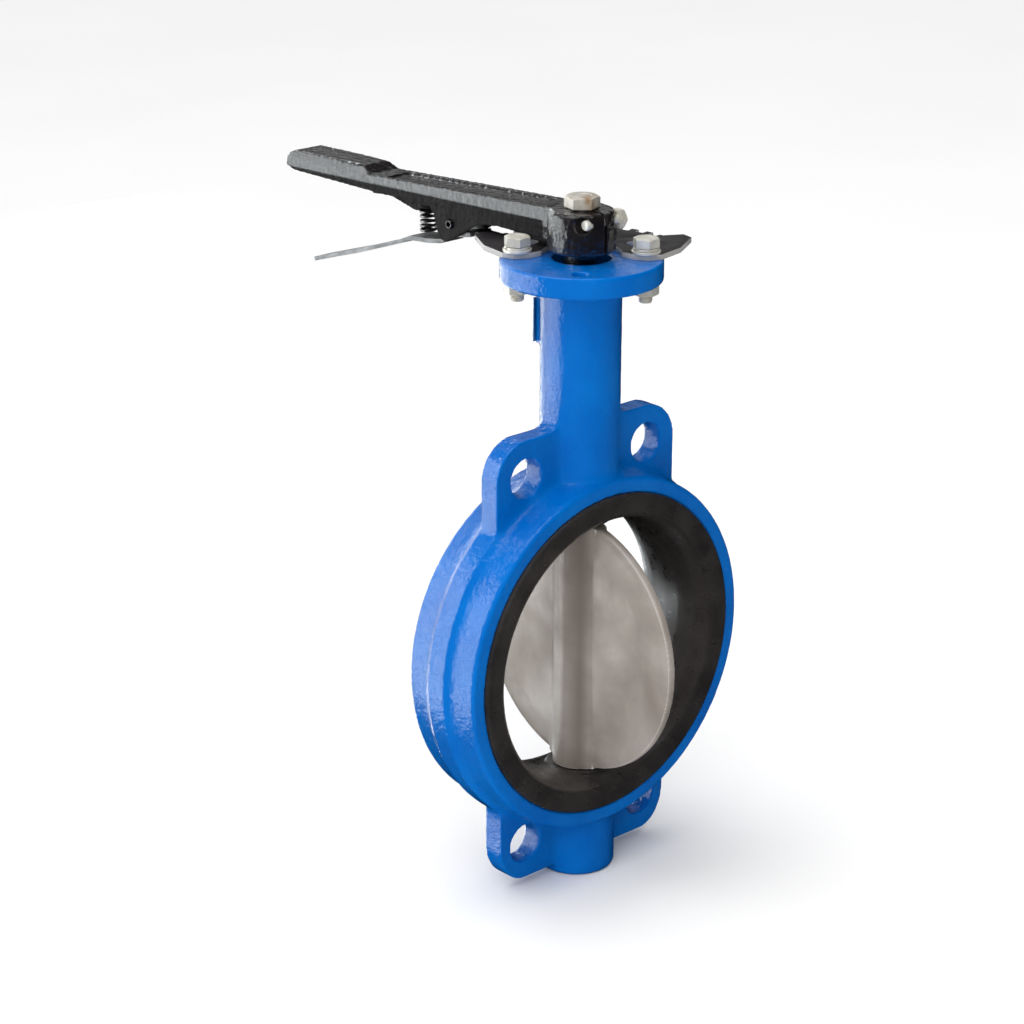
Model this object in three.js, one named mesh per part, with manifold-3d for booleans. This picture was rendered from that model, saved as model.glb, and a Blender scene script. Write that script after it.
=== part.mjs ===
// A wafer butterfly valve, DN 150 (6 inch), worked by a notched hand lever.
// Units are millimetres. The origin is the centre of the bore, where the flow axis meets the stem axis.
// +Y is the flow axis, +Z runs up the stem and +X runs across the pipe.
// The disc stands open in the YZ plane, and the hand lever points along +Y, in line with it.
import * as THREE from 'three';
import { mergeVertices } from 'three/addons/utils/BufferGeometryUtils.js';
import Module from 'manifold-3d';

const wasm = await Module();
wasm.setup();

// ---------------------------------------------------------------- driving dimensions
const faceToFace = 56;            // over both lips of the seat
const boreRadius = 78;            // inside of the seat at its two ends
const crownRadius = 76.4;         // inside of the seat at its middle, where the disc seals
const seatWall = 8;               // rubber between the bore and the casting
const lipRadius = 94.5;           // outer edge of the seat's lips
const lipThickness = 5.5;
const lipProud = 1.5;             // how far a lip stands out of the casting's face
const bodyFaceRadius = 103.5;     // casting, at its two faces
const bodyShoulderRadius = 105;   // casting, where the faces' taper meets the rib
const ribRadius = 107.5;
const ribHalfWidth = 7.5;
const topFlangeHeight = 226;      // centre of the bore to the top flange's face
const topFlangeRadius = 45;
const topFlangeThickness = 12;
const topBoltCircle = 70;         // diameter
const topBoltHoleRadius = 4.5;
const neckRadius = 22.5;
const bossDepth = 139;            // centre of the bore to the lower boss's end
const pipeBoltCircle = 240;       // diameter
const pipeBoltHoleRadius = 11.5;
const lugRadius = 22;             // round a pipe bolt's hole
const lowerLugWidth = 19;         // from the hole to the outer edge of a lower lug
const lugHalfThickness = 6.5;
const stemRadius = 9.46;
const driveSquare = 14;           // across the stem's flats
const bushWall = 2.5;
const discHubRadius = 13.8;
const discHalfThickness = 4.6;
const discRimHalfThickness = 2.4;
const plateThickness = 3;
const notchPitch = 10;            // degrees
const notchCount = 10;
const notchRootRadius = 53.6;
const notchTipRadius = 58;
const notchWidth = 5.4;
const hornRadius = 69;
const leverHalfWidth = 12;
const leverLength = 244;          // stem axis to the end of the grip
const hubRadius = 19;
const hubHeight = 23.2;
const hubPadRadius = 8.9;         // pad on the hub under the top bolt's head
const hubPadHeight = 0.8;
const gripHeight = 13;
const wallThickness = 3.2;        // side walls of the lever's channel
const pivotReach = 96;            // stem axis to the trigger's pin
const pivotRise = 2;              // pin above the top flange's face
const pinRadius = 2.5;
const triggerReach = 223.5;       // stem axis to the end of the trigger
const triggerWidth = 16;
const stripThickness = 2.5;
const springReach = 127;          // stem axis to the spring's axis
const springRadius = 4.6;         // to the middle of the wire
const springWire = 1.6;           // diameter
const springTurns = 4;
const clampBoltOffset = 13.5;     // stem axis to the clamp bolt's axis
const dataPlateSize = [29, 25];
const dataPlateHeight = 188.5;    // middle of the data plate

// ---------------------------------------------------------------- fits
const running = 0.1;              // radial, a stem or pin that turns in its bearing
const slip = 0.3;                 // pieces that lie against each other without touching
const discClearance = 0.5;        // disc's rim to the seat
const triggerClearance = 0.5;     // trigger to the walls of the lever's channel
const toothClearance = 0.3;       // trigger's tooth to the plate above it, when squeezed clear

// ---------------------------------------------------------------- standard fasteners
const m6 = { radius: 2.95, acrossFlats: 10, headHeight: 4 };
const m8 = { radius: 3.95, acrossFlats: 13, headHeight: 5.3, nutHeight: 6.8 };
const m10 = { radius: 4.85, acrossFlats: 17, headHeight: 6.4 };
const flatWasher = { inner: 4.2, outer: 8, thickness: 1.6 };
const lockWasher = { inner: 4.1, outer: 7.2, thickness: 1.6, gap: 12 };

// ---------------------------------------------------------------- shape helpers
const ringSides = 56;              // facets round the large rings, and round smaller pieces
const stemSides = 32;
const smallSides = 20;
const fullTurn = 2 * Math.PI;
const radians = THREE.MathUtils.degToRad;
const v2 = (x, y) => new THREE.Vector2(x, y);

// A closed three.js geometry as a manifold-3d solid, turned the right way out.
function solid(geometry) {
  const bare = new THREE.BufferGeometry();
  const flat = geometry.index ? geometry.toNonIndexed() : geometry;
  bare.setAttribute('position', flat.getAttribute('position'));
  const merged = mergeVertices(bare, 1e-4);
  const corners = merged.index.array;
  const kept = [];
  for (let i = 0; i < corners.length; i += 3) {
    const [a, b, c] = [corners[i], corners[i + 1], corners[i + 2]];
    if (a !== b && b !== c && c !== a) kept.push(a, b, c);
  }
  const build = (triangles) =>
    new wasm.Manifold(
      new wasm.Mesh({
        numProp: 3,
        vertProperties: merged.attributes.position.array,
        triVerts: new Uint32Array(triangles),
      }),
    );
  const made = build(kept);
  if (made.volume() > 0) return made;
  return build(kept.reverse());
}

const join = (first, ...rest) => rest.reduce((whole, piece) => whole.add(piece), first);
const cut = (first, ...rest) => rest.reduce((whole, tool) => whole.subtract(tool), first);

function box(x0, x1, y0, y1, z0, z1) {
  const geometry = new THREE.BoxGeometry(x1 - x0, y1 - y0, z1 - z0);
  return solid(geometry.translate((x0 + x1) / 2, (y0 + y1) / 2, (z0 + z1) / 2));
}

// A round bar along Z, X or Y.
function barZ(radius, z0, z1, x = 0, y = 0, sides = stemSides) {
  const geometry = new THREE.CylinderGeometry(radius, radius, z1 - z0, sides);
  return solid(geometry.rotateX(Math.PI / 2).translate(x, y, (z0 + z1) / 2));
}
function barX(radius, x0, x1, y, z, sides = stemSides) {
  const geometry = new THREE.CylinderGeometry(radius, radius, x1 - x0, sides);
  return solid(geometry.rotateZ(-Math.PI / 2).translate((x0 + x1) / 2, y, z));
}
function barY(radius, y0, y1, x, z, sides = stemSides) {
  const geometry = new THREE.CylinderGeometry(radius, radius, y1 - y0, sides);
  return solid(geometry.translate(x, (y0 + y1) / 2, z));
}

// A section of [radius, height along the axis] points turned about Y, Z or X.
const turned = (section, sides) => new THREE.LatheGeometry(section.map(([r, h]) => v2(r, h)), sides);
const turnedY = (section, sides = ringSides) => solid(turned(section, sides));
const turnedZ = (section, sides = stemSides) => solid(turned(section, sides).rotateX(Math.PI / 2));
const turnedX = (section, sides = ringSides) => solid(turned(section, sides).rotateZ(-Math.PI / 2));

// An outline drawn in the XY, XZ or YZ plane, given depth along the third axis.
function extruded(shape, depth, curveSegments = 10) {
  return new THREE.ExtrudeGeometry(shape, { depth, bevelEnabled: false, curveSegments });
}
const plateXY = (shape, z0, z1) => solid(extruded(shape, z1 - z0).translate(0, 0, z0));
const plateXZ = (shape, y0, y1) => solid(extruded(shape, y1 - y0).rotateX(Math.PI / 2).translate(0, y1, 0));
function plateYZ(shape, x0, x1) {
  const turn = new THREE.Matrix4().set(0, 0, 1, x0, 1, 0, 0, 0, 0, 1, 0, 0, 0, 0, 0, 1);
  return solid(extruded(shape, x1 - x0).applyMatrix4(turn));
}
const outline = (points) => new THREE.Shape(points.map(([x, y]) => v2(x, y)));

// A hexagonal prism along Z with the chamfer that a bolt's head or a nut has.
function hexagon(acrossFlats, z0, z1, chamferTop, chamferBottom) {
  const corner = acrossFlats / Math.sqrt(3);
  const geometry = new THREE.CylinderGeometry(corner, corner, z1 - z0, 6);
  const prism = solid(geometry.rotateX(Math.PI / 2).translate(0, 0, (z0 + z1) / 2));
  const bevel = corner - acrossFlats / 2 + 0.3;
  const drop = bevel * 0.55;
  const envelope = [
    [0, z0],
    [corner - (chamferBottom ? bevel : 0) + 0.1, z0],
    [corner + 0.1, z0 + (chamferBottom ? drop : 0)],
    [corner + 0.1, z1 - (chamferTop ? drop : 0)],
    [corner - (chamferTop ? bevel : 0) + 0.1, z1],
    [0, z1],
  ].filter(([r, z], i, all) => i === 0 || r !== all[i - 1][0] || z !== all[i - 1][1]);
  return prism.intersect(turnedZ(envelope, 24));
}

// ---------------------------------------------------------------- materials
function finish(color, roughness, metalness) {
  return () => new THREE.MeshStandardMaterial({ color, roughness, metalness });
}
const enamel = finish(0x0a66b4, 0.25, 0.1);
const rubber = finish(0x2b2827, 0.6, 0);
const castStainless = finish(0x9a938c, 0.35, 0.9);
const steel = finish(0xa9a6a0, 0.35, 1);
const zincPlate = finish(0xc9c6bb, 0.35, 0.9);
const blackPaint = finish(0x1b191b, 0.35, 0.1);
const platePaint = finish(0x3b3a3d, 0.45, 0.3);
const polymer = finish(0xd8d4c8, 0.5, 0);
const aluminium = finish(0xbfc2c6, 0.4, 0.8);

// ---------------------------------------------------------------- the scene graph
const valve = new THREE.Group();
const fixedParts = new THREE.Group();
const closingParts = new THREE.Group();
const triggerParts = new THREE.Group();
valve.add(fixedParts);
valve.add(closingParts);
closingParts.add(triggerParts);

function add(group, name, shape, material, position = [0, 0, 0]) {
  const { vertProperties, triVerts } = shape.getMesh();
  const geometry = new THREE.BufferGeometry();
  geometry.setAttribute('position', new THREE.BufferAttribute(vertProperties, 3));
  geometry.setIndex(new THREE.BufferAttribute(triVerts, 1));
  geometry.computeVertexNormals();
  const mesh = new THREE.Mesh(geometry, material());
  mesh.name = name;
  mesh.position.set(...position);
  group.add(mesh);
}

// ---------------------------------------------------------------- sizes worked out from the above
const faceHalf = faceToFace / 2;
const castingHalf = faceHalf - lipProud;
const lipFloor = faceHalf - lipThickness;       // bottom of the casting's recess for a lip
const linerRadius = boreRadius + seatWall;
const ringMiddle = (linerRadius + bodyFaceRadius) / 2;
const flangeBottom = topFlangeHeight - topFlangeThickness;
const bearingBore = stemRadius + running + bushWall + slip;
const plateTop = topFlangeHeight + plateThickness;
const discRadius = crownRadius - discClearance;
const discEnd = Math.sqrt(crownRadius ** 2 - discHubRadius ** 2) - 0.35;   // hub's flat ends
const seatFlat = discEnd + slip;                                          // rubber flats round the stems
const hubBottom = plateTop + 1;
const hubTop = hubBottom + hubHeight;
const pivotHeight = topFlangeHeight + pivotRise;
const topBoltAngles = [135, -45];
const clampHeight = hubTop - 5.4;

// The bore of the neck, from the casting's ring upwards.
const neckBoreTop = flangeBottom - 7;
const counterboreRadius = bearingBore + 3.7;
const thrustWasherThickness = 2;
const halfRingThickness = 2.5;
const snapRingThickness = 1.6;
const thrustWasherBottom = neckBoreTop;
const halfRingBottom = thrustWasherBottom + thrustWasherThickness + slip;
const snapRingBottom = halfRingBottom + halfRingThickness + slip;
const snapGrooveRadius = counterboreRadius + 1.6;

// ================================================================ body
const pipeBoltAngle = radians(22.5);
const lugHole = [
  (pipeBoltCircle / 2) * Math.sin(pipeBoltAngle),
  (pipeBoltCircle / 2) * Math.cos(pipeBoltAngle),
];

// One lug with its web, for the right or left side and the upper or lower end.
function lug(side, end, webRise) {
  const [holeX, holeZ] = lugHole;
  const edgeZ = holeZ + lugRadius;
  const edgeWidth = end > 0 ? lugRadius : lowerLugWidth;
  const edgeX = holeX + edgeWidth;
  const path = new THREE.Path();
  path.moveTo(0, ringMiddle);
  path.lineTo(0, edgeZ + webRise);
  path.lineTo(neckRadius - 1, edgeZ + webRise);
  path.quadraticCurveTo(neckRadius + 1, edgeZ, neckRadius + 3 + webRise, edgeZ);
  path.lineTo(holeX, edgeZ);
  path.absellipse(holeX, holeZ, edgeWidth, lugRadius, Math.PI / 2, 0, true);
  path.lineTo(edgeX, Math.sqrt(ringMiddle ** 2 - edgeX ** 2));
  const points = path.getPoints(10).map((p) => [side * p.x, end * p.y]);
  return plateXZ(outline(points), -lugHalfThickness, lugHalfThickness);
}

function castRing() {
  const half = [
    [linerRadius, lipFloor],
    [lipRadius + slip, lipFloor],
    [lipRadius + slip, castingHalf],
    [bodyFaceRadius - 1.2, castingHalf],
    [bodyFaceRadius, castingHalf - 1.4],
    [bodyShoulderRadius, ribHalfWidth + 1.2],
    [bodyShoulderRadius + 1, ribHalfWidth + 0.2],
    [ribRadius - 1, ribHalfWidth - 0.2],
    [ribRadius, ribHalfWidth - 1.2],
  ];
  const mirrored = half.map(([r, y]) => [r, -y]).reverse();
  return turnedY([...half, ...mirrored, half[0]]);
}

function neckAndTopFlange() {
  return turnedZ([
    [0, ringMiddle],
    [neckRadius, ringMiddle],
    [neckRadius, flangeBottom - 3],
    [neckRadius + 0.9, flangeBottom - 0.9],
    [neckRadius + 3, flangeBottom],
    [topFlangeRadius - 1, flangeBottom],
    [topFlangeRadius, flangeBottom + 1],
    [topFlangeRadius, topFlangeHeight - 1],
    [topFlangeRadius - 1, topFlangeHeight],
    [0, topFlangeHeight],
  ]);
}

function lowerBoss() {
  return turnedZ([
    [0, -bossDepth],
    [neckRadius - 2, -bossDepth],
    [neckRadius - 0.6, -bossDepth + 0.6],
    [neckRadius, -bossDepth + 2],
    [neckRadius, -ringMiddle],
    [0, -ringMiddle],
  ]);
}

const dataPadHalfWidth = dataPlateSize[0] / 2 - 1.5;
const dataPadHalfHeight = dataPlateSize[1] / 2 + 1;
const dataPadFace = neckRadius + 0.1;
const rivetReach = dataPlateSize[0] / 2 - 3.6;
const lowerBoreEnd = -bossDepth + 11;

function bodyShape() {
  const dataPad = box(
    -dataPadHalfWidth, dataPadHalfWidth, 6, dataPadFace,
    dataPlateHeight - dataPadHalfHeight, dataPlateHeight + dataPadHalfHeight,
  );
  const lugs = [1, -1].flatMap((side) => [lug(side, 1, 6), lug(side, -1, 1.5)]);
  const casting = join(castRing(), neckAndTopFlange(), lowerBoss(), dataPad, ...lugs);
  const pipeHoles = [1, -1].flatMap((side) => [1, -1].map((end) =>
    barY(pipeBoltHoleRadius, -lugHalfThickness - 1, lugHalfThickness + 1, side * lugHole[0], end * lugHole[1])));
  const topHoles = [45, 135, 225, 315].map((angle) =>
    barZ(topBoltHoleRadius, flangeBottom - 4, topFlangeHeight + 1,
      (topBoltCircle / 2) * Math.cos(radians(angle)), (topBoltCircle / 2) * Math.sin(radians(angle)), smallSides));
  const rivetHoles = [1, -1].map((side) =>
    barY(1.6, dataPadFace - 5, dataPadFace + 1, side * rivetReach, dataPlateHeight, 12));
  const snapGroove = barZ(snapGrooveRadius, snapRingBottom - slip, snapRingBottom + snapRingThickness + slip);
  return cut(
    casting,
    barY(linerRadius, -lipFloor - 0.01, lipFloor + 0.01, 0, 0, ringSides),
    barY(lipRadius + slip, lipFloor, castingHalf + 1, 0, 0, ringSides),
    barY(lipRadius + slip, -castingHalf - 1, -lipFloor, 0, 0, ringSides),
    barZ(bearingBore, boreRadius, neckBoreTop + 1),
    barZ(counterboreRadius, neckBoreTop, topFlangeHeight + 1),
    barZ(bearingBore, lowerBoreEnd, -boreRadius),
    snapGroove,
    ...pipeHoles,
    ...topHoles,
    ...rivetHoles,
  );
}
add(fixedParts, 'body', bodyShape(), enamel);

// ================================================================ seat
function seatShape() {
  const back = linerRadius - slip;
  const half = [
    [back, lipFloor + slip],
    [lipRadius, lipFloor + slip],
    [lipRadius, faceHalf - 1.2],
    [lipRadius - 1.2, faceHalf],
    [boreRadius + 4.8, faceHalf],
    [boreRadius + 2.9, faceHalf - 1.5],
    [boreRadius + 1.3, faceHalf - 5.6],
    [boreRadius, faceHalf - 11],
    [crownRadius + 0.4, 9],
    [crownRadius, 5],
  ];
  const mirrored = half.map(([r, y]) => [r, -y]).reverse();
  const liner = turnedY([...half, ...mirrored, half[0]], 112);
  const flatRadius = discHubRadius + 4;
  const flats = [barZ(flatRadius, seatFlat, boreRadius + 3), barZ(flatRadius, -boreRadius - 3, -seatFlat)];
  const stemHole = barZ(stemRadius + running, -linerRadius - 5, linerRadius + 5);
  return cut(join(liner, ...flats), stemHole);
}
add(fixedParts, 'seat', seatShape(), rubber);

// ================================================================ disc
const stemEngagement = 34;                       // how deep a stem goes into the disc's hub
const stemInnerEnd = discEnd - stemEngagement;
const discSquareTop = stemInnerEnd + 18;

function discShape() {
  const half = [
    [discRadius, discRimHalfThickness - 1.2],
    [discRadius - 0.6, discRimHalfThickness],
    [discRadius - 4, discRimHalfThickness + 0.9],
    [discRadius - 17, discHalfThickness],
    [0, discHalfThickness],
  ];
  const mirrored = half.map(([r, x]) => [r, -x]).reverse();
  const blade = turnedX([...mirrored, ...half]);
  const fillet = 9;
  const wing = discHubRadius + fillet;
  const path = new THREE.Path();
  const meet = Math.acos((discHalfThickness + fillet) / (discHubRadius + fillet));
  const filletY = (discHubRadius + fillet) * Math.sin(meet);
  const filletX = (discHubRadius + fillet) * Math.cos(meet);
  path.absarc(0, 0, discHubRadius, 0, meet, false);
  path.absarc(filletX, filletY, fillet, Math.PI + meet, Math.PI, true);
  const quarter = path.getPoints(8).map((p) => [p.x, p.y]);
  const tip = [discHalfThickness - 1, Math.min(wing, filletY)];
  const right = [...quarter, tip];
  const upper = [...right, ...right.map(([x, y]) => [-x, y]).reverse()];
  const lower = upper.slice(1, -1).map(([x, y]) => [x, -y]).reverse();
  const hub = plateXY(outline([...upper, ...lower]), -discEnd, discEnd);
  const envelope = barX(discRadius, -wing, wing, 0, 0, ringSides);
  const ends = box(-wing, wing, -discRadius - 1, discRadius + 1, -discEnd, discEnd);
  const socket = (driveSquare / 2) + slip / 2;
  return cut(
    join(blade, hub).intersect(envelope).intersect(ends),
    box(-socket, socket, -socket, socket, stemInnerEnd - slip, discSquareTop + 1),
    barZ(stemRadius + slip, discSquareTop, discEnd + 1),
    barZ(stemRadius + slip, -discEnd - 1, -stemInnerEnd + slip),
  );
}
add(closingParts, 'disc', discShape(), castStainless);

// ================================================================ stems
const leverDriveBottom = plateTop - 1;
const stemTop = hubTop - 4;
const topBoltHoleDepth = 20;

function square(z0, z1) {
  const half = driveSquare / 2;
  return box(-half, half, -half, half, z0, z1).intersect(barZ(stemRadius, z0, z1));
}

function upperStemShape() {
  const grooveRadius = stemRadius - 1.9;
  const groove = turnedZ([
    [grooveRadius, halfRingBottom - slip],
    [stemRadius + 1, halfRingBottom - slip],
    [stemRadius + 1, halfRingBottom + halfRingThickness + slip],
    [grooveRadius, halfRingBottom + halfRingThickness + slip],
    [grooveRadius, halfRingBottom - slip],
  ]);
  return cut(
    join(
      square(stemInnerEnd, discSquareTop),
      barZ(stemRadius, discSquareTop, leverDriveBottom),
      square(leverDriveBottom, stemTop),
    ),
    groove,
    barZ(m10.radius + slip, stemTop - topBoltHoleDepth, stemTop + 1, 0, 0, smallSides),
  );
}
add(closingParts, 'upper_stem', upperStemShape(), steel);

const lowerStemEnd = lowerBoreEnd + 3;
const lowerStem = turnedZ([
  [0, lowerStemEnd],
  [stemRadius - 1, lowerStemEnd],
  [stemRadius, lowerStemEnd + 1],
  [stemRadius, -stemInnerEnd - 1],
  [stemRadius - 1, -stemInnerEnd],
  [0, -stemInnerEnd],
]);
add(closingParts, 'lower_stem', lowerStem, steel);

// Split ring in the stem's groove: two halves that turn with the stem.
function halfRing(side) {
  const inner = stemRadius - 1.9 + slip;
  const outer = counterboreRadius - 0.6;
  const ring = turnedZ([
    [inner, halfRingBottom],
    [outer, halfRingBottom],
    [outer, halfRingBottom + halfRingThickness],
    [inner, halfRingBottom + halfRingThickness],
    [inner, halfRingBottom],
  ]);
  const [near, far] = side > 0 ? [slip / 2, outer + 1] : [-outer - 1, -slip / 2];
  return ring.intersect(box(-outer - 1, outer + 1, near, far, halfRingBottom - 1, halfRingBottom + 5));
}
add(closingParts, 'stem_half_ring_back', halfRing(1), steel);
add(closingParts, 'stem_half_ring_front', halfRing(-1), steel);

// ================================================================ bearings, seals and rings in the neck
// A sleeve or flat ring about the stem's axis.
function sleeve(inner, outer, z0, z1, sides = stemSides) {
  return turnedZ([[inner, z0], [outer, z0], [outer, z1], [inner, z1], [inner, z0]], sides);
}
const bushInner = stemRadius + running;
const bushOuter = bushInner + bushWall;
const neckBushLength = 28;
const bossBushLength = 26;
const sealRadius = 1.15;
const sealMiddle = stemRadius + running + 0.1 + sealRadius;
const neckBushBottom = linerRadius + 10;
const sealSpacing = 5;

add(fixedParts, 'neck_bush_lower', sleeve(bushInner, bushOuter, neckBushBottom, neckBushBottom + neckBushLength),
  polymer);
add(fixedParts, 'neck_bush_upper', sleeve(bushInner, bushOuter, neckBoreTop - neckBushLength - slip, neckBoreTop - slip),
  polymer);
add(fixedParts, 'boss_bush', sleeve(bushInner, bushOuter, lowerBoreEnd + 4, lowerBoreEnd + 4 + bossBushLength),
  polymer);

function sealRing(height) {
  const section = [];
  for (let i = 0; i <= 6; i += 1) {
    const angle = (i / 6) * fullTurn;
    section.push([sealMiddle + sealRadius * Math.cos(angle), height + sealRadius * Math.sin(angle)]);
  }
  section[6] = section[0];
  return turnedZ(section, 24);
}
const firstSeal = neckBushBottom + neckBushLength + sealSpacing;
add(fixedParts, 'stem_seal_lower', sealRing(firstSeal), rubber);
add(fixedParts, 'stem_seal_upper', sealRing(firstSeal + sealSpacing), rubber);
add(fixedParts, 'boss_seal', sealRing(lowerBoreEnd + 4 + bossBushLength + sealSpacing / 2), rubber);

add(fixedParts, 'stem_thrust_washer',
  sleeve(bushInner, counterboreRadius - slip, thrustWasherBottom, thrustWasherBottom + thrustWasherThickness), steel);

function snapRingShape() {
  const inner = counterboreRadius - 3;
  const outer = snapGrooveRadius - slip;
  const gapHalf = 4;
  const ring = sleeve(inner, outer, snapRingBottom, snapRingBottom + snapRingThickness);
  return cut(ring, box(-gapHalf, gapHalf, -outer - 1, 0, snapRingBottom - 1, snapRingBottom + snapRingThickness + 1));
}
add(fixedParts, 'stem_snap_ring', snapRingShape(), steel);

// ================================================================ notch plate
// Drawn about the 45 degree line between the lever's two end positions, so one half is made and mirrored.
const polar = (radius, degrees) => [radius * Math.cos(radians(degrees)), radius * Math.sin(radians(degrees))];
const mirror45 = ([x, y]) => [y, x];
const plateInnerRadius = hubRadius + 3;
const slotRadius = topBoltCircle / 2;

function arcPoints(radius, from, to, steps) {
  return Array.from({ length: steps + 1 }, (_, i) => polar(radius, from + ((to - from) * i) / steps));
}

function notchPlateShape() {
  const toothGap = 0.6;
  const noseHalf = triggerWidth * 0.3 + toothGap;
  const half = [
    ...arcPoints(plateInnerRadius, 45, -42, 10),
    polar(slotRadius - 7, -53),
    polar(slotRadius + 2, -55),
    polar(slotRadius + 8.5, -50),
    polar(notchTipRadius - 3, -33),
    polar(hornRadius, -15.5),
    polar(hornRadius, -9),
    [notchTipRadius + 1, -noseHalf],
    ...arcPoints(notchTipRadius, -5, 45, 12),
  ];
  const whole = [...half, ...half.slice(1, -1).map(mirror45).reverse()];
  const blank = plateXY(outline(whole), topFlangeHeight, plateTop);
  const notches = Array.from({ length: notchCount }, (_, i) => {
    const notch = new THREE.BoxGeometry(hornRadius - notchRootRadius, notchWidth, plateThickness + 2);
    notch.translate((hornRadius + notchRootRadius) / 2, 0, (topFlangeHeight + plateTop) / 2);
    return solid(notch.rotateZ(radians(i * notchPitch)));
  });
  return cut(blank, ...notches, kidneySlot(-45, -10), kidneySlot(135, 100));
}

function kidneySlot(from, to) {
  const width = topBoltHoleRadius;
  const [low, high] = [Math.min(from, to), Math.max(from, to)];
  const shape = outline([
    ...arcPoints(slotRadius + width, low, high, 8),
    ...roundEnd(high, 1, width),
    ...arcPoints(slotRadius - width, high, low, 8),
    ...roundEnd(low, -1, width),
  ]);
  return plateXY(shape, topFlangeHeight - 1, plateTop + 1);
}
function roundEnd(degrees, turn, width) {
  const [x, y] = polar(slotRadius, degrees);
  return Array.from({ length: 5 }, (_, i) => {
    const angle = radians(degrees) + (turn > 0 ? 0 : Math.PI) + ((i + 1) * Math.PI) / 6;
    return [x + width * Math.cos(angle), y + width * Math.sin(angle)];
  });
}
add(fixedParts, 'notch_plate', notchPlateShape(), platePaint);

// ================================================================ lever
// Heights of the lever's outline above the top flange's face, at distances from the stem's axis.
const armTop = (reach) => topFlangeHeight + 27.8 - 0.0575 * reach;
const stepReach = 166;                              // where the raised grip begins
const gripTop = topFlangeHeight + 22.4;             // top of the grip at its inner end
const gripEndTop = topFlangeHeight + 20.4;
const gripUnderside = gripTop - gripHeight - 2;
const bandHeight = 10;                              // the flat band along the arm's sides
const skirtInset = 1.2;                             // the skirt below the band is set in
const earTip = topFlangeHeight - 9;
const channelHalf = triggerWidth / 2 + triggerClearance;
const skirtHalf = channelHalf + wallThickness;
const springSeatHeight = topFlangeHeight + 4;
const webLow = topFlangeHeight + 8.5;              // underside of the arm behind the ears
const skirtLow = topFlangeHeight + 8;

function gripShape() {
  const section = outline([
    [leverHalfWidth - 3.4, 0],
    [leverHalfWidth, 3.6],
    [leverHalfWidth, gripHeight - 4],
    [leverHalfWidth - 2, gripHeight + 1],
    [leverHalfWidth - 4.4, gripHeight + 2],
    [4.4 - leverHalfWidth, gripHeight + 2],
    [2 - leverHalfWidth, gripHeight + 1],
    [-leverHalfWidth, gripHeight - 4],
    [-leverHalfWidth, 3.6],
    [3.4 - leverHalfWidth, 0],
  ]);
  const start = stepReach - 12;
  const blank = plateXZ(section, start, leverLength).translate(0, 0, gripUnderside);
  const side = outline([
    [start - 1, gripUnderside - 1],
    [leverLength - 9, gripUnderside - 1],
    [leverLength - 3, gripUnderside + 0.6],
    [leverLength - 0.4, gripUnderside + 2.6],
    [leverLength, gripUnderside + 5],
    [leverLength - 1.2, gripUnderside + 9],
    [leverLength - 3, gripEndTop - 1.4],
    [leverLength - 6, gripEndTop],
    [stepReach + 8, gripTop],
    [stepReach, armTop(stepReach)],
    [start - 1, armTop(start)],
  ]);
  return blank.intersect(plateYZ(side, -leverHalfWidth - 1, leverHalfWidth + 1));
}

function armShape() {
  const end = stepReach + 4;
  const band = outline([
    [0, armTop(0)],
    [0, armTop(0) - bandHeight - 2],
    [60, armTop(60) - bandHeight],
    [112, armTop(112) - bandHeight],
    [end - 14, gripUnderside + 3],
    [end, gripUnderside + 3],
    [end, armTop(end)],
  ]);
  const skirt = outline([
    [4, armTop(4) - 3],
    [4, skirtLow],
    [hornRadius - 12, skirtLow],
    [hornRadius + 4, skirtLow - 2.2],
    [pivotReach - 1, earTip + 2.2],
    [pivotReach + 3, earTip + 0.3],
    [pivotReach + 6, earTip],
    [pivotReach + 9.6, earTip + 0.3],
    [pivotReach + 11.2, earTip + 1.8],
    [pivotReach + 14.6, webLow - 3],
    [pivotReach + 17, webLow],
    [end - 16, webLow],
    [end - 6, gripUnderside],
    [end - 6, armTop(end) - 3],
  ]);
  const channel = outline([
    [0, skirtLow - 40],
    [pivotReach + 18, skirtLow - 40],
    [pivotReach + 18, topFlangeHeight + 12.5],
    [pivotReach + 10, topFlangeHeight + 14.5],
    [0, topFlangeHeight + 16.5],
  ]);
  const recess = outline([
    [30, armTop(30) - 1.3],
    [stepReach - 8, armTop(stepReach - 8) - 1.3],
    [stepReach - 4, armTop(stepReach) + 3],
    [26, armTop(26) + 3],
  ]);
  const recessHalf = leverHalfWidth - 3.6;
  const arm = join(
    plateYZ(band, -leverHalfWidth, leverHalfWidth),
    plateYZ(skirt, -skirtHalf, skirtHalf),
  );
  return cut(arm, plateYZ(channel, -channelHalf, channelHalf), plateYZ(recess, -recessHalf, recessHalf));
}

// The hub: a round boss with a pad on top, slit in front and pinched by the clamp bolt.
const slitHalf = 1;
const hubRound = 3;

function hubShape() {
  return turnedZ([
    [0, hubBottom],
    [hubRadius - 1.5, hubBottom],
    [hubRadius, hubBottom + 1.5],
    [hubRadius, hubTop - hubRound],
    [hubRadius - 1, hubTop - 1],
    [hubRadius - hubRound, hubTop],
    [hubPadRadius, hubTop],
    [hubPadRadius, hubTop + hubPadHeight],
    [0, hubTop + hubPadHeight],
  ]);
}

// Distances from the hub's middle plane to the seats of the clamp bolt's head and end.
const clampHeadSeat = Math.sqrt(hubRadius ** 2 - clampBoltOffset ** 2) - 1.2;
const clampEndSeat = clampHeadSeat - 2.4;

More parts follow.
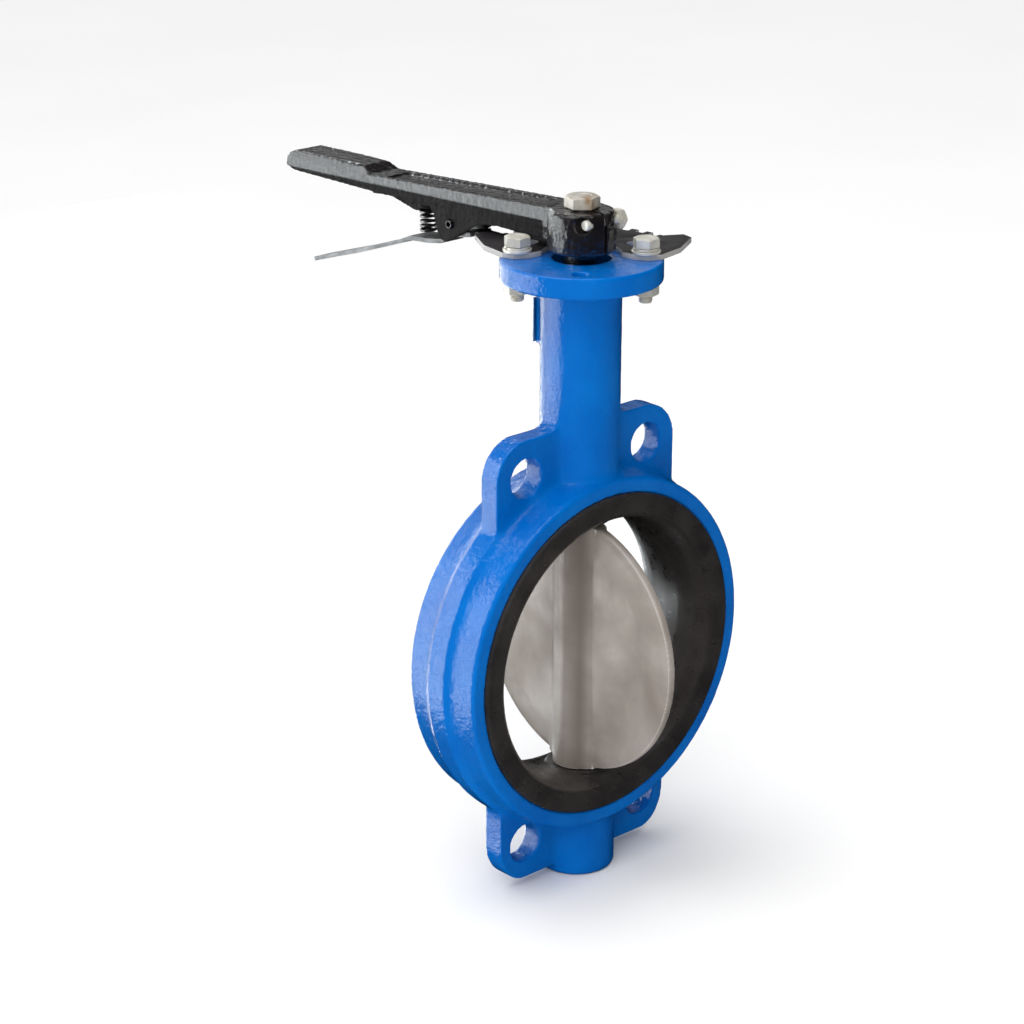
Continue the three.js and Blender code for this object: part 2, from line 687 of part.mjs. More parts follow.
function leverShape() {
  const gusset = outline([
    [springReach + 4, webLow + 3],
    [springReach + 4, springSeatHeight - 2.4],
    [springReach + 9, springSeatHeight - 2.8],
    [stepReach - 10, webLow - 3],
    [stepReach - 10, webLow + 3],
  ]);
  const springSeat = barZ(springRadius + springWire / 2 + 0.6, springSeatHeight, webLow + 5, 0, springReach, smallSides);
  const socket = driveSquare / 2 + slip / 2;
  return cut(
    join(hubShape(), armShape(), gripShape(), plateYZ(gusset, -3, 3), springSeat),
    box(-socket, socket, -socket, socket, hubBottom - 1, stemTop + slip),
    barZ(m10.radius + slip, stemTop, hubTop + hubPadHeight + 1, 0, 0, smallSides),
    box(-slitHalf, slitHalf, -hubRadius - 1, -hubPadRadius - 0.4, hubBottom - 1, hubTop + 1),
    barX(m6.radius + slip, -hubRadius, hubRadius, -clampBoltOffset, clampHeight, smallSides),
    barX(m6.acrossFlats / Math.sqrt(3) + 1, clampHeadSeat, hubRadius + 2, -clampBoltOffset, clampHeight),
    barX(m6.radius + 1.6, -hubRadius - 2, -clampEndSeat, -clampBoltOffset, clampHeight, smallSides),
    barX(pinRadius + running, -skirtHalf - 1, skirtHalf + 1, pivotReach, pivotHeight, smallSides),
  );
}
add(closingParts, 'lever', leverShape(), blackPaint);

// Hexagon bolt pointing down, with the underside of its head at height 0.
function hexBolt(size, length) {
  return join(
    hexagon(size.acrossFlats, 0, size.headHeight, true, false),
    turnedZ([
      [0, -length],
      [size.radius - 0.8, -length],
      [size.radius, -length + 0.9],
      [size.radius, 0.5],
      [0, 0.5],
    ], smallSides),
  );
}
add(closingParts, 'lever_top_bolt', hexBolt(m10, 20), zincPlate, [0, 0, hubTop + hubPadHeight]);

// Lying along X, with corners of its head up and down.
const clampBoltProud = 1.4;                          // the bolt's end stands out of its recess's floor
const clampBolt = hexBolt(m6, clampHeadSeat + clampEndSeat + clampBoltProud);
add(closingParts, 'clamp_bolt', clampBolt, zincPlate, [clampHeadSeat, -clampBoltOffset, clampHeight]);
closingParts.getObjectByName('clamp_bolt').rotation.set(Math.PI / 2, Math.PI / 2, 0);

// Hollow spring pin across the two ears.
const pinHalf = skirtHalf + 0.6;
const pinSection = [
  [pinRadius - 0.9, -pinHalf],
  [pinRadius - 0.4, -pinHalf],
  [pinRadius, -pinHalf + 0.5],
  [pinRadius, pinHalf - 0.5],
  [pinRadius - 0.4, pinHalf],
  [pinRadius - 0.9, pinHalf],
  [pinRadius - 0.9, -pinHalf],
];
add(closingParts, 'trigger_pin', turnedX(pinSection, smallSides), steel, [0, pivotReach, pivotHeight]);

// ================================================================ trigger
const toothHalf = notchWidth / 2 - 0.5;
const toothTop = topFlangeHeight - toothClearance;
const noseHeight = toothTop - 0.6 - stripThickness / 2;
const springBaseHeight = topFlangeHeight - 12.8;     // middle of the strip under the spring
const tailSlope = 0.33;                              // how fast the tail falls away from the lever

// The strip's outline: its middle line, set off by half its thickness to both sides.
function stripOutline(middle, thickness) {
  const side = (sign) => middle.map(([y, z], i) => {
    const before = middle[Math.max(i - 1, 0)];
    const after = middle[Math.min(i + 1, middle.length - 1)];
    const length = Math.hypot(after[0] - before[0], after[1] - before[1]);
    const normal = [-(after[1] - before[1]) / length, (after[0] - before[0]) / length];
    return [y + (sign * normal[0] * thickness) / 2, z + (sign * normal[1] * thickness) / 2];
  });
  return outline([...side(1), ...side(-1).reverse()]);
}

function triggerShape() {
  const noseStart = pivotReach - 14;
  const noseEnd = notchTipRadius + 1.4;
  const knee = [springReach + 15, springBaseHeight - 4.4];
  const tailMiddle = (knee[0] + triggerReach) / 2;
  const strip = stripOutline([
    [triggerReach, knee[1] - tailSlope * (triggerReach - knee[0])],
    [tailMiddle, knee[1] - tailSlope * (tailMiddle - knee[0]) - 0.6],
    knee,
    [springReach + 7.5, springBaseHeight - 1.2],
    [springReach - 7, springBaseHeight],
    [pivotReach + 12, springBaseHeight + 2],
    [pivotReach + 1, noseHeight - 3],
    [noseStart, noseHeight],
  ], stripThickness);
  const nose = outline([
    [noseStart + 0.6, noseHeight - stripThickness / 2],
    [noseStart + 0.6, noseHeight + stripThickness / 2],
    [noseEnd, noseHeight + stripThickness / 2],
    [noseEnd, noseHeight - stripThickness / 2],
  ]);
  const tooth = outline([
    [noseEnd + 3, noseHeight - stripThickness / 2],
    [noseEnd + 3, noseHeight + stripThickness / 2],
    [noseEnd + 1, toothTop],
    [notchRootRadius + 0.8, toothTop],
    [notchRootRadius + 0.8, noseHeight - stripThickness / 2],
  ]);
  const tab = new THREE.Shape();
  tab.moveTo(pivotReach - 13, noseHeight - 0.8);
  tab.lineTo(pivotReach - 4.6, pivotHeight + 3);
  tab.absarc(pivotReach, pivotHeight, 5.5, radians(147), radians(25), true);
  tab.lineTo(pivotReach + 13, springBaseHeight + 2);
  tab.lineTo(pivotReach + 2, noseHeight - 3);
  const wide = triggerWidth / 2;
  const noseWide = triggerWidth * 0.3;
  const rim = wide - stripThickness;
  return cut(
    join(
      plateYZ(strip, -wide, wide),
      plateYZ(nose, -noseWide, noseWide),
      plateYZ(tooth, -toothHalf, toothHalf),
      plateYZ(tab, -wide, -rim),
      plateYZ(tab, rim, wide),
    ),
    barX(pinRadius + running, -wide - 1, wide + 1, pivotReach, pivotHeight, smallSides),
  );
}
add(triggerParts, 'trigger', triggerShape(), steel);

// ================================================================ trigger spring
class Helix extends THREE.Curve {
  constructor(radius, low, high, turns, reach) {
    super();
    Object.assign(this, { radius, low, high, turns, reach });
  }
  getPoint(t, target = new THREE.Vector3()) {
    const angle = t * this.turns * fullTurn;
    return target.set(
      this.radius * Math.cos(angle),
      this.reach + this.radius * Math.sin(angle),
      this.low + (this.high - this.low) * t,
    );
  }
}
const springLow = springBaseHeight + stripThickness / 2 + springWire / 2 + slip + 0.7;
const springHigh = springSeatHeight - springWire / 2 - slip;

function springShape() {
  const path = new Helix(springRadius, springLow, springHigh, springTurns, springReach);
  const wire = new THREE.Shape();
  wire.absarc(0, 0, springWire / 2, 0, fullTurn, false);
  const coil = new THREE.ExtrudeGeometry(wire, { steps: springTurns * 10, extrudePath: path, curveSegments: 5 });
  return solid(coil);
}
add(closingParts, 'trigger_spring', springShape(), steel);

// ================================================================ top flange fasteners
const fastenerSides = [['left', topBoltAngles[0]], ['right', topBoltAngles[1]]];
const headSeatHeight = plateTop + flatWasher.thickness + lockWasher.thickness;
const boltLength = 31;

// A split lock washer, open on one side.
function lockWasherShape() {
  const ring = sleeve(lockWasher.inner, lockWasher.outer, 0, lockWasher.thickness, smallSides);
  const opening = box(0, lockWasher.outer + 1, -0.8, 0.8, -1, lockWasher.thickness + 1);
  return cut(ring, opening);
}
function nutShape() {
  const hole = barZ(m8.radius + running, -1, m8.nutHeight + 1, 0, 0, smallSides);
  return cut(hexagon(m8.acrossFlats, 0, m8.nutHeight, true, true), hole);
}
const flatWasherShape = () => sleeve(flatWasher.inner, flatWasher.outer, 0, flatWasher.thickness, smallSides);

for (const [side, angle] of fastenerSides) {
  const [x, y] = polar(topBoltCircle / 2, angle);
  const underLock = flangeBottom - lockWasher.thickness;
  const stack = [
    ['plate_washer', flatWasherShape(), plateTop],
    ['plate_lock_washer', lockWasherShape(), plateTop + flatWasher.thickness],
    ['flange_bolt', hexBolt(m8, boltLength), headSeatHeight],
    ['nut_lock_washer', lockWasherShape(), underLock],
    ['flange_nut', nutShape(), underLock - m8.nutHeight],
  ];
  for (const [name, shape, height] of stack) add(fixedParts, `${name}_${side}`, shape, zincPlate, [x, y, height]);
}

// ================================================================ data plate
const dataPlateThickness = 1;
const rivetRadius = 1.45;

function dataPlateShape() {
  const [width, height] = dataPlateSize;
  const blank = box(
    -width / 2, width / 2, dataPadFace, dataPadFace + dataPlateThickness,
    dataPlateHeight - height / 2, dataPlateHeight + height / 2,
  );
  const holes = [1, -1].map((side) =>
    barY(rivetRadius + running, dataPadFace - 1, dataPadFace + 2, side * rivetReach, dataPlateHeight, 12));
  return cut(blank, ...holes);
}
add(fixedParts, 'data_plate', dataPlateShape(), aluminium);

// Round-headed rivet whose shank goes into the neck's pad.
function rivetShape(x) {
  const face = dataPadFace + dataPlateThickness;
  const section = [
    [0, face - 5],
    [rivetRadius, face - 5],
    [rivetRadius, face],
    [2.7, face],
    [2.3, face + 0.8],
    [1.2, face + 1.3],
    [0, face + 1.4],
  ];
  return turnedY(section, 12).translate(x, 0, dataPlateHeight);
}
add(fixedParts, 'data_plate_rivet_left', rivetShape(-rivetReach), aluminium);
add(fixedParts, 'data_plate_rivet_right', rivetShape(rivetReach), aluminium);

export default valve;
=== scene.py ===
"""Looks for a DN 150 wafer butterfly valve with a notched hand lever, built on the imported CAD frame."""
import math

import bmesh
import bpy
import numpy as np
from mathutils import Matrix, Vector


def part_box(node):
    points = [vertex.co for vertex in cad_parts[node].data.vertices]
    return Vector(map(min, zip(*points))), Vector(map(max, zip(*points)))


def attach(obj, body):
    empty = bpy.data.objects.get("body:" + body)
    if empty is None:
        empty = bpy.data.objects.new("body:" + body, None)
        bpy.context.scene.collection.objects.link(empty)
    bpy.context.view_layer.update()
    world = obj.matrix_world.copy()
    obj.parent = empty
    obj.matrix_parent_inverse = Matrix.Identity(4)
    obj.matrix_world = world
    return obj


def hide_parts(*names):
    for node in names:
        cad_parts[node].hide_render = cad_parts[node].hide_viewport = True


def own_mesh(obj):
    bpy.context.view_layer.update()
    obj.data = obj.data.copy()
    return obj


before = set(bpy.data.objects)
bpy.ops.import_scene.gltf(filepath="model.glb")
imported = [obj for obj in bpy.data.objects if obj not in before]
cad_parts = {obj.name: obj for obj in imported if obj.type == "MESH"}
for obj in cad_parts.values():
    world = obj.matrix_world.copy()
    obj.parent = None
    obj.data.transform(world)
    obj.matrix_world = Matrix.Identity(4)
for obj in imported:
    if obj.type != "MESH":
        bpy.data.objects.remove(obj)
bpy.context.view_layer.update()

MM = 0.001
TURN = 2 * math.pi
FIXED = "valve_body"
ROTOR = "stem_and_disc"
TRIGGER = "lock_trigger"


def node_box(node):
    """Lowest and highest corner of a CAD node, in millimetres."""
    low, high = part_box(node)
    return low / MM, high / MM


# ---------------------------------------------------------------- sizes, in millimetres
FACE_HALF = node_box("seat")[1].y
LIP_PROUD = 1.5
CASTING_HALF = FACE_HALF - LIP_PROUD
LIP_FLOOR = FACE_HALF - 5.5
LINER_RADIUS = 86.0
LIP_RADIUS = node_box("seat")[1].x
BORE_RADIUS = 78.0
CROWN_RADIUS = 76.4
BODY_FACE_RADIUS = 103.5
SHOULDER_RADIUS = 105.0
RIB_RADIUS = 107.5
RIB_HALF = 7.5
RING_MIDDLE = (LINER_RADIUS + BODY_FACE_RADIUS) / 2
FLANGE_TOP = node_box("body")[1].z
FLANGE_THICK = 12.0
FLANGE_BOTTOM = FLANGE_TOP - FLANGE_THICK
FLANGE_RADIUS = 45.0
FLANGE_HOLE_RADIUS = 4.5
NECK_RADIUS = 22.5
BOSS_END = node_box("body")[0].z
LUG_HOLE = (120 * math.sin(math.radians(22.5)), 120 * math.cos(math.radians(22.5)))
LUG_HOLE_RADIUS = 11.5
LUG_RADIUS = 22.0
LOWER_LUG_WIDTH = 19.0
LUG_HALF = 6.5
STEM_RADIUS = 9.46
STEM_GAP = 0.1
BEARING_BORE = STEM_RADIUS + 2.9
BEARING_START = 60.0                   # from the bore's centre to the near end of each bearing's hole
BOSS_FLOOR = 11.0                      # metal left under the lower stem
GLAND_RADIUS = BEARING_BORE + 3.7
GLAND_DEPTH = 19.0
FLANGE_BOLT_CIRCLE = 35.0              # the radius of the circle that the bolts stand on
FLANGE_BOLT_ANGLES = {"left": 135, "right": -45}
PLATE_TOP = node_box("notch_plate")[1].z
DISC_RADIUS = node_box("disc")[1].y
DISC_END = node_box("disc")[1].z
DISC_HUB_RADIUS = 13.8
DISC_HALF = 4.6
DISC_RIM_HALF = 2.4
DATA_PLATE_LOW, DATA_PLATE_HIGH = node_box("data_plate")
PAD_HALF = DATA_PLATE_HIGH.x - 1.5
PAD_ROOT = 6.0                         # how near the stem's axis the data plate's pad starts
PAD_PROUD = 0.1
BAND_LOW = 245.6                       # lower edge of the lever's side band at the stem's axis
BAND_FALL = 0.0375                     # how fast that edge falls towards the grip
ARM_START = 17.0                       # where the lever's arm leaves its hub
ARM_CORE = 10.6                        # half the width inside which the arm's walls stay upright
SKIRT_STEP = 0.35                      # how far the skirt stands in under the band
SKIRT_DRAFT = 0.05                     # how far it leans in for each millimetre of depth
SKIRT_DEPTH = 24.0
WASHER_THICK = 1.6
LOCK_WASHER_THICK = 1.6
NUT_HEIGHT = 6.8
M8_FLATS = 13.0
FLANGE_BOLT_HEAD = 5.3
TOP_BOLT_HEAD = 6.4
CLAMP_BOLT_HEAD = 4.0
SPRING_WIRE = 1.6
CUT_PAST = 5.0                         # how far a cutting tool runs past the face it cuts


# ---------------------------------------------------------------- mesh helpers
def new_piece(name, verts, faces):
    """A mesh object from points in millimetres, with its faces turned outwards."""
    mesh = bpy.data.meshes.new(name)
    mesh.from_pydata([tuple(float(c) * MM for c in v) for v in verts], [], faces)
    bm = bmesh.new()
    bm.from_mesh(mesh)
    bmesh.ops.remove_doubles(bm, verts=bm.verts, dist=1e-7)
    bmesh.ops.recalc_face_normals(bm, faces=bm.faces)
    bm.to_mesh(mesh)
    bm.free()
    piece = bpy.data.objects.new(name, mesh)
    bpy.context.scene.collection.objects.link(piece)
    return piece


def revolve(name, rings, axis="Z", closed=False, sides=96, turn=0.0):
    """A body of rings, each a radius and a height, which may be numbers or one value for each angle."""
    angle = np.arange(sides) / sides * TURN + turn
    points = []
    for radius, height in rings:
        r = np.broadcast_to(np.asarray(radius, float), sides)
        h = np.broadcast_to(np.asarray(height, float), sides)
        a, b = r * np.cos(angle), r * np.sin(angle)
        order = {"Z": (a, b, h), "Y": (a, h, b), "X": (h, a, b)}[axis]
        points.append(np.stack(order, 1))
    count = len(rings)
    faces = []
    for i in range(count if closed else count - 1):
        j = (i + 1) % count
        for k in range(sides):
            n = (k + 1) % sides
            faces.append((i * sides + k, i * sides + n, j * sides + n, j * sides + k))
    if not closed:
        faces.append(tuple(range(sides)))
        faces.append(tuple((count - 1) * sides + k for k in range(sides)))
    return new_piece(name, np.concatenate(points), faces)


def prism(name, points, axis, low, high):
    """An outline given depth along X, Y or Z."""
    place = {
        "X": lambda a, b, h: (h, a, b),
        "Y": lambda a, b, h: (a, h, b),
        "Z": lambda a, b, h: (a, b, h),
    }[axis]
    count = len(points)
    verts = [place(a, b, h) for h in (low, high) for a, b in points]
    faces = [(k, (k + 1) % count, count + (k + 1) % count, count + k) for k in range(count)]
    faces += [tuple(range(count)), tuple(range(count, 2 * count))]
    return new_piece(name, verts, faces)


def mirrored(half):
    """A section given on one side of height 0, continued by its mirror image."""
    return half + [(r, -h) for r, h in reversed(half)]


def arc(cx, cy, rx, ry, start, end, steps):
    """Points along an arc, or a stretch of an ellipse, between two angles in degrees."""
    angles = np.radians(np.linspace(start, end, steps + 1))
    return [(cx + rx * math.cos(a), cy + ry * math.sin(a)) for a in angles]


def bar(axis, radius, low, high, at=(0, 0), sides=64):
    """A plain round bar, used to cut with. The place at is across the axis."""
    piece = revolve("tool", [(radius, low), (radius, high)], axis, sides=sides)
    a, b = at
    shift = {"X": (0, a, b), "Y": (a, 0, b), "Z": (a, b, 0)}[axis]
    piece.data.transform(Matrix.Translation(Vector(shift) * MM))
    return piece


def settle(piece):
    """Applies the modifiers that are on a piece."""
    bpy.context.view_layer.update()
    graph = bpy.context.evaluated_depsgraph_get()
    made = bpy.data.meshes.new_from_object(piece.evaluated_get(graph))
    piece.modifiers.clear()
    piece.data = made
    return piece


def combine(piece, others, operation):
    """Joins, cuts or intersects a piece with others, which are used up."""
    for other in others:
        modifier = piece.modifiers.new("combine", "BOOLEAN")
        modifier.operation = operation
        modifier.solver = "MANIFOLD"
        modifier.object = other
        settle(piece)
        bpy.data.objects.remove(other)
    return piece


def remesh(piece, voxel):
    modifier = piece.modifiers.new("remesh", "REMESH")
    modifier.mode = "VOXEL"
    modifier.voxel_size = voxel * MM
    return settle(piece)


def soften(piece, fill, even):
    """Fills inside corners as a casting's fillets do, then evens out the whole surface."""
    mesh = piece.data
    count = len(mesh.vertices)
    co = np.zeros(count * 3)
    mesh.vertices.foreach_get("co", co)
    co = co.reshape(-1, 3)
    ends = np.zeros(len(mesh.edges) * 2, int)
    mesh.edges.foreach_get("vertices", ends)
    first, second = ends.reshape(-1, 2).T
    degree = np.maximum(np.bincount(ends, minlength=count), 1)

    def drift():
        total = np.zeros_like(co)
        for k in range(3):
            total[:, k] = np.bincount(first, co[second, k], count)
            total[:, k] += np.bincount(second, co[first, k], count)
        return total / degree[:, None] - co

    def normals():
        mesh.vertices.foreach_set("co", co.ravel())
        mesh.update()
        out = np.zeros(count * 3)
        mesh.vertex_normals.foreach_get("vector", out)
        return out.reshape(-1, 3)

    for i in range(fill):
        if i % 4 == 0:
            out = normals()
        rise = np.maximum((drift() * out).sum(1), 0)
        co += out * (0.5 * rise)[:, None]
    for step in (0.5, -0.52) * even:
        co += step * drift()
    mesh.vertices.foreach_set("co", co.ravel())
    mesh.update()
    return piece


def ripple(piece, depth, shortest, longest, waves=28, seed=5):
    """Sinks the surface by up to a depth in an even random swell, as a sand casting's skin has."""
    draw = np.random.default_rng(seed)
    mesh = piece.data
    co = np.zeros(len(mesh.vertices) * 3)
    out = np.zeros_like(co)
    mesh.vertices.foreach_get("co", co)
    mesh.vertex_normals.foreach_get("vector", out)
    co, out = co.reshape(-1, 3), out.reshape(-1, 3)
    swell = np.zeros(len(co))
    for _ in range(waves):
        way = draw.normal(size=3)
        way *= TURN / (draw.uniform(shortest, longest) * MM * np.linalg.norm(way))
        swell += np.sin(co @ way + draw.uniform(0, TURN))
    swell = np.clip(swell / math.sqrt(waves / 2), -2, 2)
    co -= out * ((swell + 2) / 4 * depth * MM)[:, None]
    mesh.vertices.foreach_set("co", co.ravel())
    mesh.update()
    return piece


def smooth(piece, degrees=180.0):
    """Smooth shading, with edges sharper than the angle kept crisp."""
    piece.data.shade_smooth()
    if degrees < 180:
        piece.data.set_sharp_from_angle(angle=math.radians(degrees))
    return piece


def copy_of(node, name):
    """A new piece with a CAD node's shape, its flat faces made whole again."""
    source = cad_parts[node].data
    bm = bmesh.new()
    bm.from_mesh(source)
    bmesh.ops.remove_doubles(bm, verts=bm.verts, dist=1e-6)
    limit = math.radians(1.0)
    bmesh.ops.dissolve_limit(bm, angle_limit=limit, verts=bm.verts, edges=bm.edges)
    mesh = bpy.data.meshes.new(name)
    bm.to_mesh(mesh)
    bm.free()
    piece = bpy.data.objects.new(name, mesh)
    bpy.context.scene.collection.objects.link(piece)
    return piece


def bevel(piece, width, segments=2, degrees=30.0):
    modifier = piece.modifiers.new("bevel", "BEVEL")
    modifier.width = width * MM
    modifier.segments = segments
    modifier.limit_method = "ANGLE"
    modifier.angle_limit = math.radians(degrees)
    modifier.use_clamp_overlap = True
    return settle(piece)


def move(piece, x, y, z):
    piece.data.transform(Matrix.Translation(Vector((x, y, z)) * MM))
    return piece


def place(piece, body, material, slot, *nodes):
    """Rides a finished piece on its body, in the place of its CAD nodes."""
    piece.data.materials.clear()
    piece.data.materials.append(material)
    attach(piece, body)
    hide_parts(*nodes)
    return piece


# ---------------------------------------------------------------- materials
class Finish:
    """A procedural material built round one principled shader."""

    def __init__(self, name, roughness, metallic, **sockets):
        self.material = bpy.data.materials.new(name)
        self.material.use_nodes = True
        self.nodes = self.material.node_tree.nodes
        self.links = self.material.node_tree.links
        self.shader = self.nodes["Principled BSDF"]
        self.set("Roughness", roughness)
        self.set("Metallic", metallic)
        for socket, value in sockets.items():
            self.set(socket.replace("_", " "), value)
        self.where = self.nodes.new("ShaderNodeTexCoord").outputs["Object"]
        self.height = None

    def set(self, socket, value):
        self.shader.inputs[socket].default_value = value

    def join(self, source, target):
        self.links.new(source, target)

    def noise(self, scale, detail=3.0, stretch=(1, 1, 1), distortion=0.0, offset=(0, 0, 0)):
        """Soft noise fixed to the piece, with about this many swells in a metre."""
        mapping = self.nodes.new("ShaderNodeMapping")
        mapping.inputs["Scale"].default_value = stretch
        mapping.inputs["Location"].default_value = offset
        self.join(self.where, mapping.inputs["Vector"])
        texture = self.nodes.new("ShaderNodeTexNoise")
        texture.inputs["Scale"].default_value = scale
        texture.inputs["Detail"].default_value = detail
        texture.inputs["Distortion"].default_value = distortion
        self.join(mapping.outputs["Vector"], texture.inputs["Vector"])
        return texture.outputs["Fac"]

    def cells(self, scale):
        texture = self.nodes.new("ShaderNodeTexVoronoi")
        texture.inputs["Scale"].default_value = scale
        self.join(self.where, texture.inputs["Vector"])
        return texture.outputs["Distance"]

    def ramp(self, source, stops):
        """Maps a value through colours, each given as (position, colour)."""
        ramp = self.nodes.new("ShaderNodeValToRGB")
        elements = ramp.color_ramp.elements
        while len(elements) < len(stops):
            elements.new(0.5)
        for element, (position, color) in zip(elements, stops):
            element.position = position
            element.color = (*color, 1) if len(color) == 3 else color
        self.join(source, ramp.inputs["Fac"])
        return ramp.outputs["Color"]

    def span(self, source, low, high, to_low, to_high):
        """Carries the range from low to high over to another range, and holds its ends."""
        span = self.nodes.new("ShaderNodeMapRange")
        sockets = ("From Min", "From Max", "To Min", "To Max")
        for socket, value in zip(sockets, (low, high, to_low, to_high)):
            span.inputs[socket].default_value = value
        self.join(source, span.inputs["Value"])
        return span.outputs["Result"]

    def blend(self, factor, first, second):
        mix = self.nodes.new("ShaderNodeMix")
        mix.data_type = "RGBA"
        self.join(factor, mix.inputs["Factor"])
        for value, socket in ((first, mix.inputs["A"]), (second, mix.inputs["B"])):
            if isinstance(value, tuple):
                socket.default_value = (*value, 1)
            else:
                self.join(value, socket)
        return mix.outputs["Result"]

    def edges(self, low, high):
        """From 0 on flats and hollows to 1 on outer edges."""
        geometry = self.nodes.new("ShaderNodeNewGeometry")
        return self.span(geometry.outputs["Pointiness"], low, high, 0, 1)

    def magnitude(self, source):
        """A value without its sign."""
        size = self.nodes.new("ShaderNodeMath")
        size.operation = "ABSOLUTE"
        self.join(source, size.inputs[0])
        return size.outputs[0]

    def facing(self, axis):
        """How squarely a face looks along one axis of the piece, from 0 to 1."""
        coordinates = self.nodes.new("ShaderNodeTexCoord")
        parts = self.nodes.new("ShaderNodeSeparateXYZ")
        self.join(coordinates.outputs["Normal"], parts.inputs["Vector"])
        return self.magnitude(parts.outputs[axis])

    def sides(self):
        """From 0 on faces that look up or down to 1 on upright ones."""
        return self.span(self.facing("Z"), 0.55, 0.95, 1, 0)

    def along(self, axis):
        """The place along one axis, in metres."""
        parts = self.nodes.new("ShaderNodeSeparateXYZ")
        self.join(self.where, parts.inputs["Vector"])
        return parts.outputs[axis]

    def higher(self, first, second):
        """The greater of two values."""
        pick = self.nodes.new("ShaderNodeMath")
        pick.operation = "MAXIMUM"
        self.join(first, pick.inputs[0])
        self.join(second, pick.inputs[1])
        return pick.outputs[0]

    def above(self, height, fall, width):
        """From 0 under a line that falls along Y to 1 over it. The height and width are in millimetres."""
        line = self.nodes.new("ShaderNodeMath")
        line.operation = "MULTIPLY_ADD"
        self.join(self.along("Y"), line.inputs[0])
        line.inputs[1].default_value = fall
        self.join(self.along("Z"), line.inputs[2])
        return self.span(line.outputs[0], (height - width / 2) * MM, (height + width / 2) * MM, 0, 1)

    def color(self, source):
        self.join(source, self.shader.inputs["Base Color"])

    def rough(self, source):
        self.join(source, self.shader.inputs["Roughness"])

    def bump(self, source, strength, depth, coat=False):
        """Adds one layer of relief, with its depth in millimetres."""
        bump = self.nodes.new("ShaderNodeBump")
        bump.inputs["Strength"].default_value = strength
        bump.inputs["Distance"].default_value = depth * MM
        self.join(source, bump.inputs["Height"])
        if self.height is not None:
            self.join(self.height, bump.inputs["Normal"])
        self.height = bump.outputs["Normal"]
        self.join(self.height, self.shader.inputs["Normal"])
        if coat:
            self.join(self.height, self.shader.inputs["Coat Normal"])


def enamel():
    """Glossy paint over the casting's swell, with an orange peel of two sizes."""
    f = Finish("blue_enamel", 0.34, 0.0, Specular_IOR_Level=0.05,
               Coat_Weight=1.0, Coat_Roughness=0.05, Coat_IOR=1.55)
    tint = f.ramp(f.noise(22, 5), [(0.3, (0.0, 0.105, 0.44)), (0.7, (0.0, 0.148, 0.54))])
    # Painted highlight: outer edges are coloured a lighter blue.
    f.color(f.blend(f.edges(0.54, 0.64), tint, (0.0, 0.20, 0.62)))
    f.rough(f.span(f.noise(90, 4), 0.3, 0.7, 0.28, 0.42))
    f.bump(f.noise(38, 2), 0.5, 1.0, coat=True)
    f.bump(f.noise(300, 2, distortion=0.4), 0.9, 0.5, coat=True)
    f.bump(f.noise(800, 2), 0.8, 0.26, coat=True)
    return f.material


def seat_rubber():
    """Moulded black rubber with a satin skin."""
    f = Finish("seat_rubber", 0.3, 0.0, Specular_IOR_Level=1.0)
    f.color(f.ramp(f.noise(60, 5), [(0.3, (0.018, 0.016, 0.016)), (0.75, (0.037, 0.033, 0.032))]))
    f.rough(f.span(f.noise(140, 4, offset=(3, 1, 2)), 0.3, 0.7, 0.24, 0.40))
    f.bump(f.noise(1200, 2), 0.3, 0.03)
    f.bump(f.noise(70, 2, stretch=(1, 3, 1)), 0.4, 0.3)
    return f.material


def cast_stainless():
    """Blotchy cast skin with a polished rim, and painted shade darkening the hub's flanks."""
    f = Finish("cast_stainless", 0.42, 0.25)
    blotch = f.ramp(f.noise(26, 9, distortion=0.25), [
        (0.28, (0.27, 0.23, 0.20)), (0.5, (0.39, 0.345, 0.31)), (0.72, (0.52, 0.48, 0.45))])
    # Painted shade: near the hub, faces that look along Y are coloured dark brown in place of the blotchy
    # skin.
    off_flank = f.span(f.facing("Y"), 0.35, 0.9, 1, 0)
    hub_edge = (DISC_HUB_RADIUS + 0.7) * MM
    off_hub = f.span(f.magnitude(f.along("Y")), hub_edge, hub_edge + 5.5 * MM, 0, 1)
    skin_and_shade = f.blend(f.higher(off_flank, off_hub), (0.21, 0.175, 0.15), blotch)
    f.color(f.blend(f.edges(0.515, 0.56), skin_and_shade, (0.95, 0.93, 0.91)))
    f.rough(f.span(f.noise(55, 5, offset=(5, 2, 1)), 0.3, 0.7, 0.32, 0.52))
    f.bump(f.noise(1100, 3), 0.6, 0.12)
    f.bump(f.noise(160, 4), 0.35, 0.16)
    return f.material


def turned_steel(name, tone, roughness):
    """Bright steel with fine turning marks round the stem's axis."""
    f = Finish(name, roughness, 1.0)
    dark = tuple(0.72 * c for c in tone)
    f.color(f.ramp(f.noise(70, 5), [(0.3, dark), (0.7, tone)]))
    f.rough(f.span(f.noise(120, 4, stretch=(1, 1, 12)), 0.3, 0.7, roughness - 0.07, roughness + 0.09))
    f.bump(f.noise(300, 2, stretch=(1, 1, 14)), 0.3, 0.05)
    return f.material


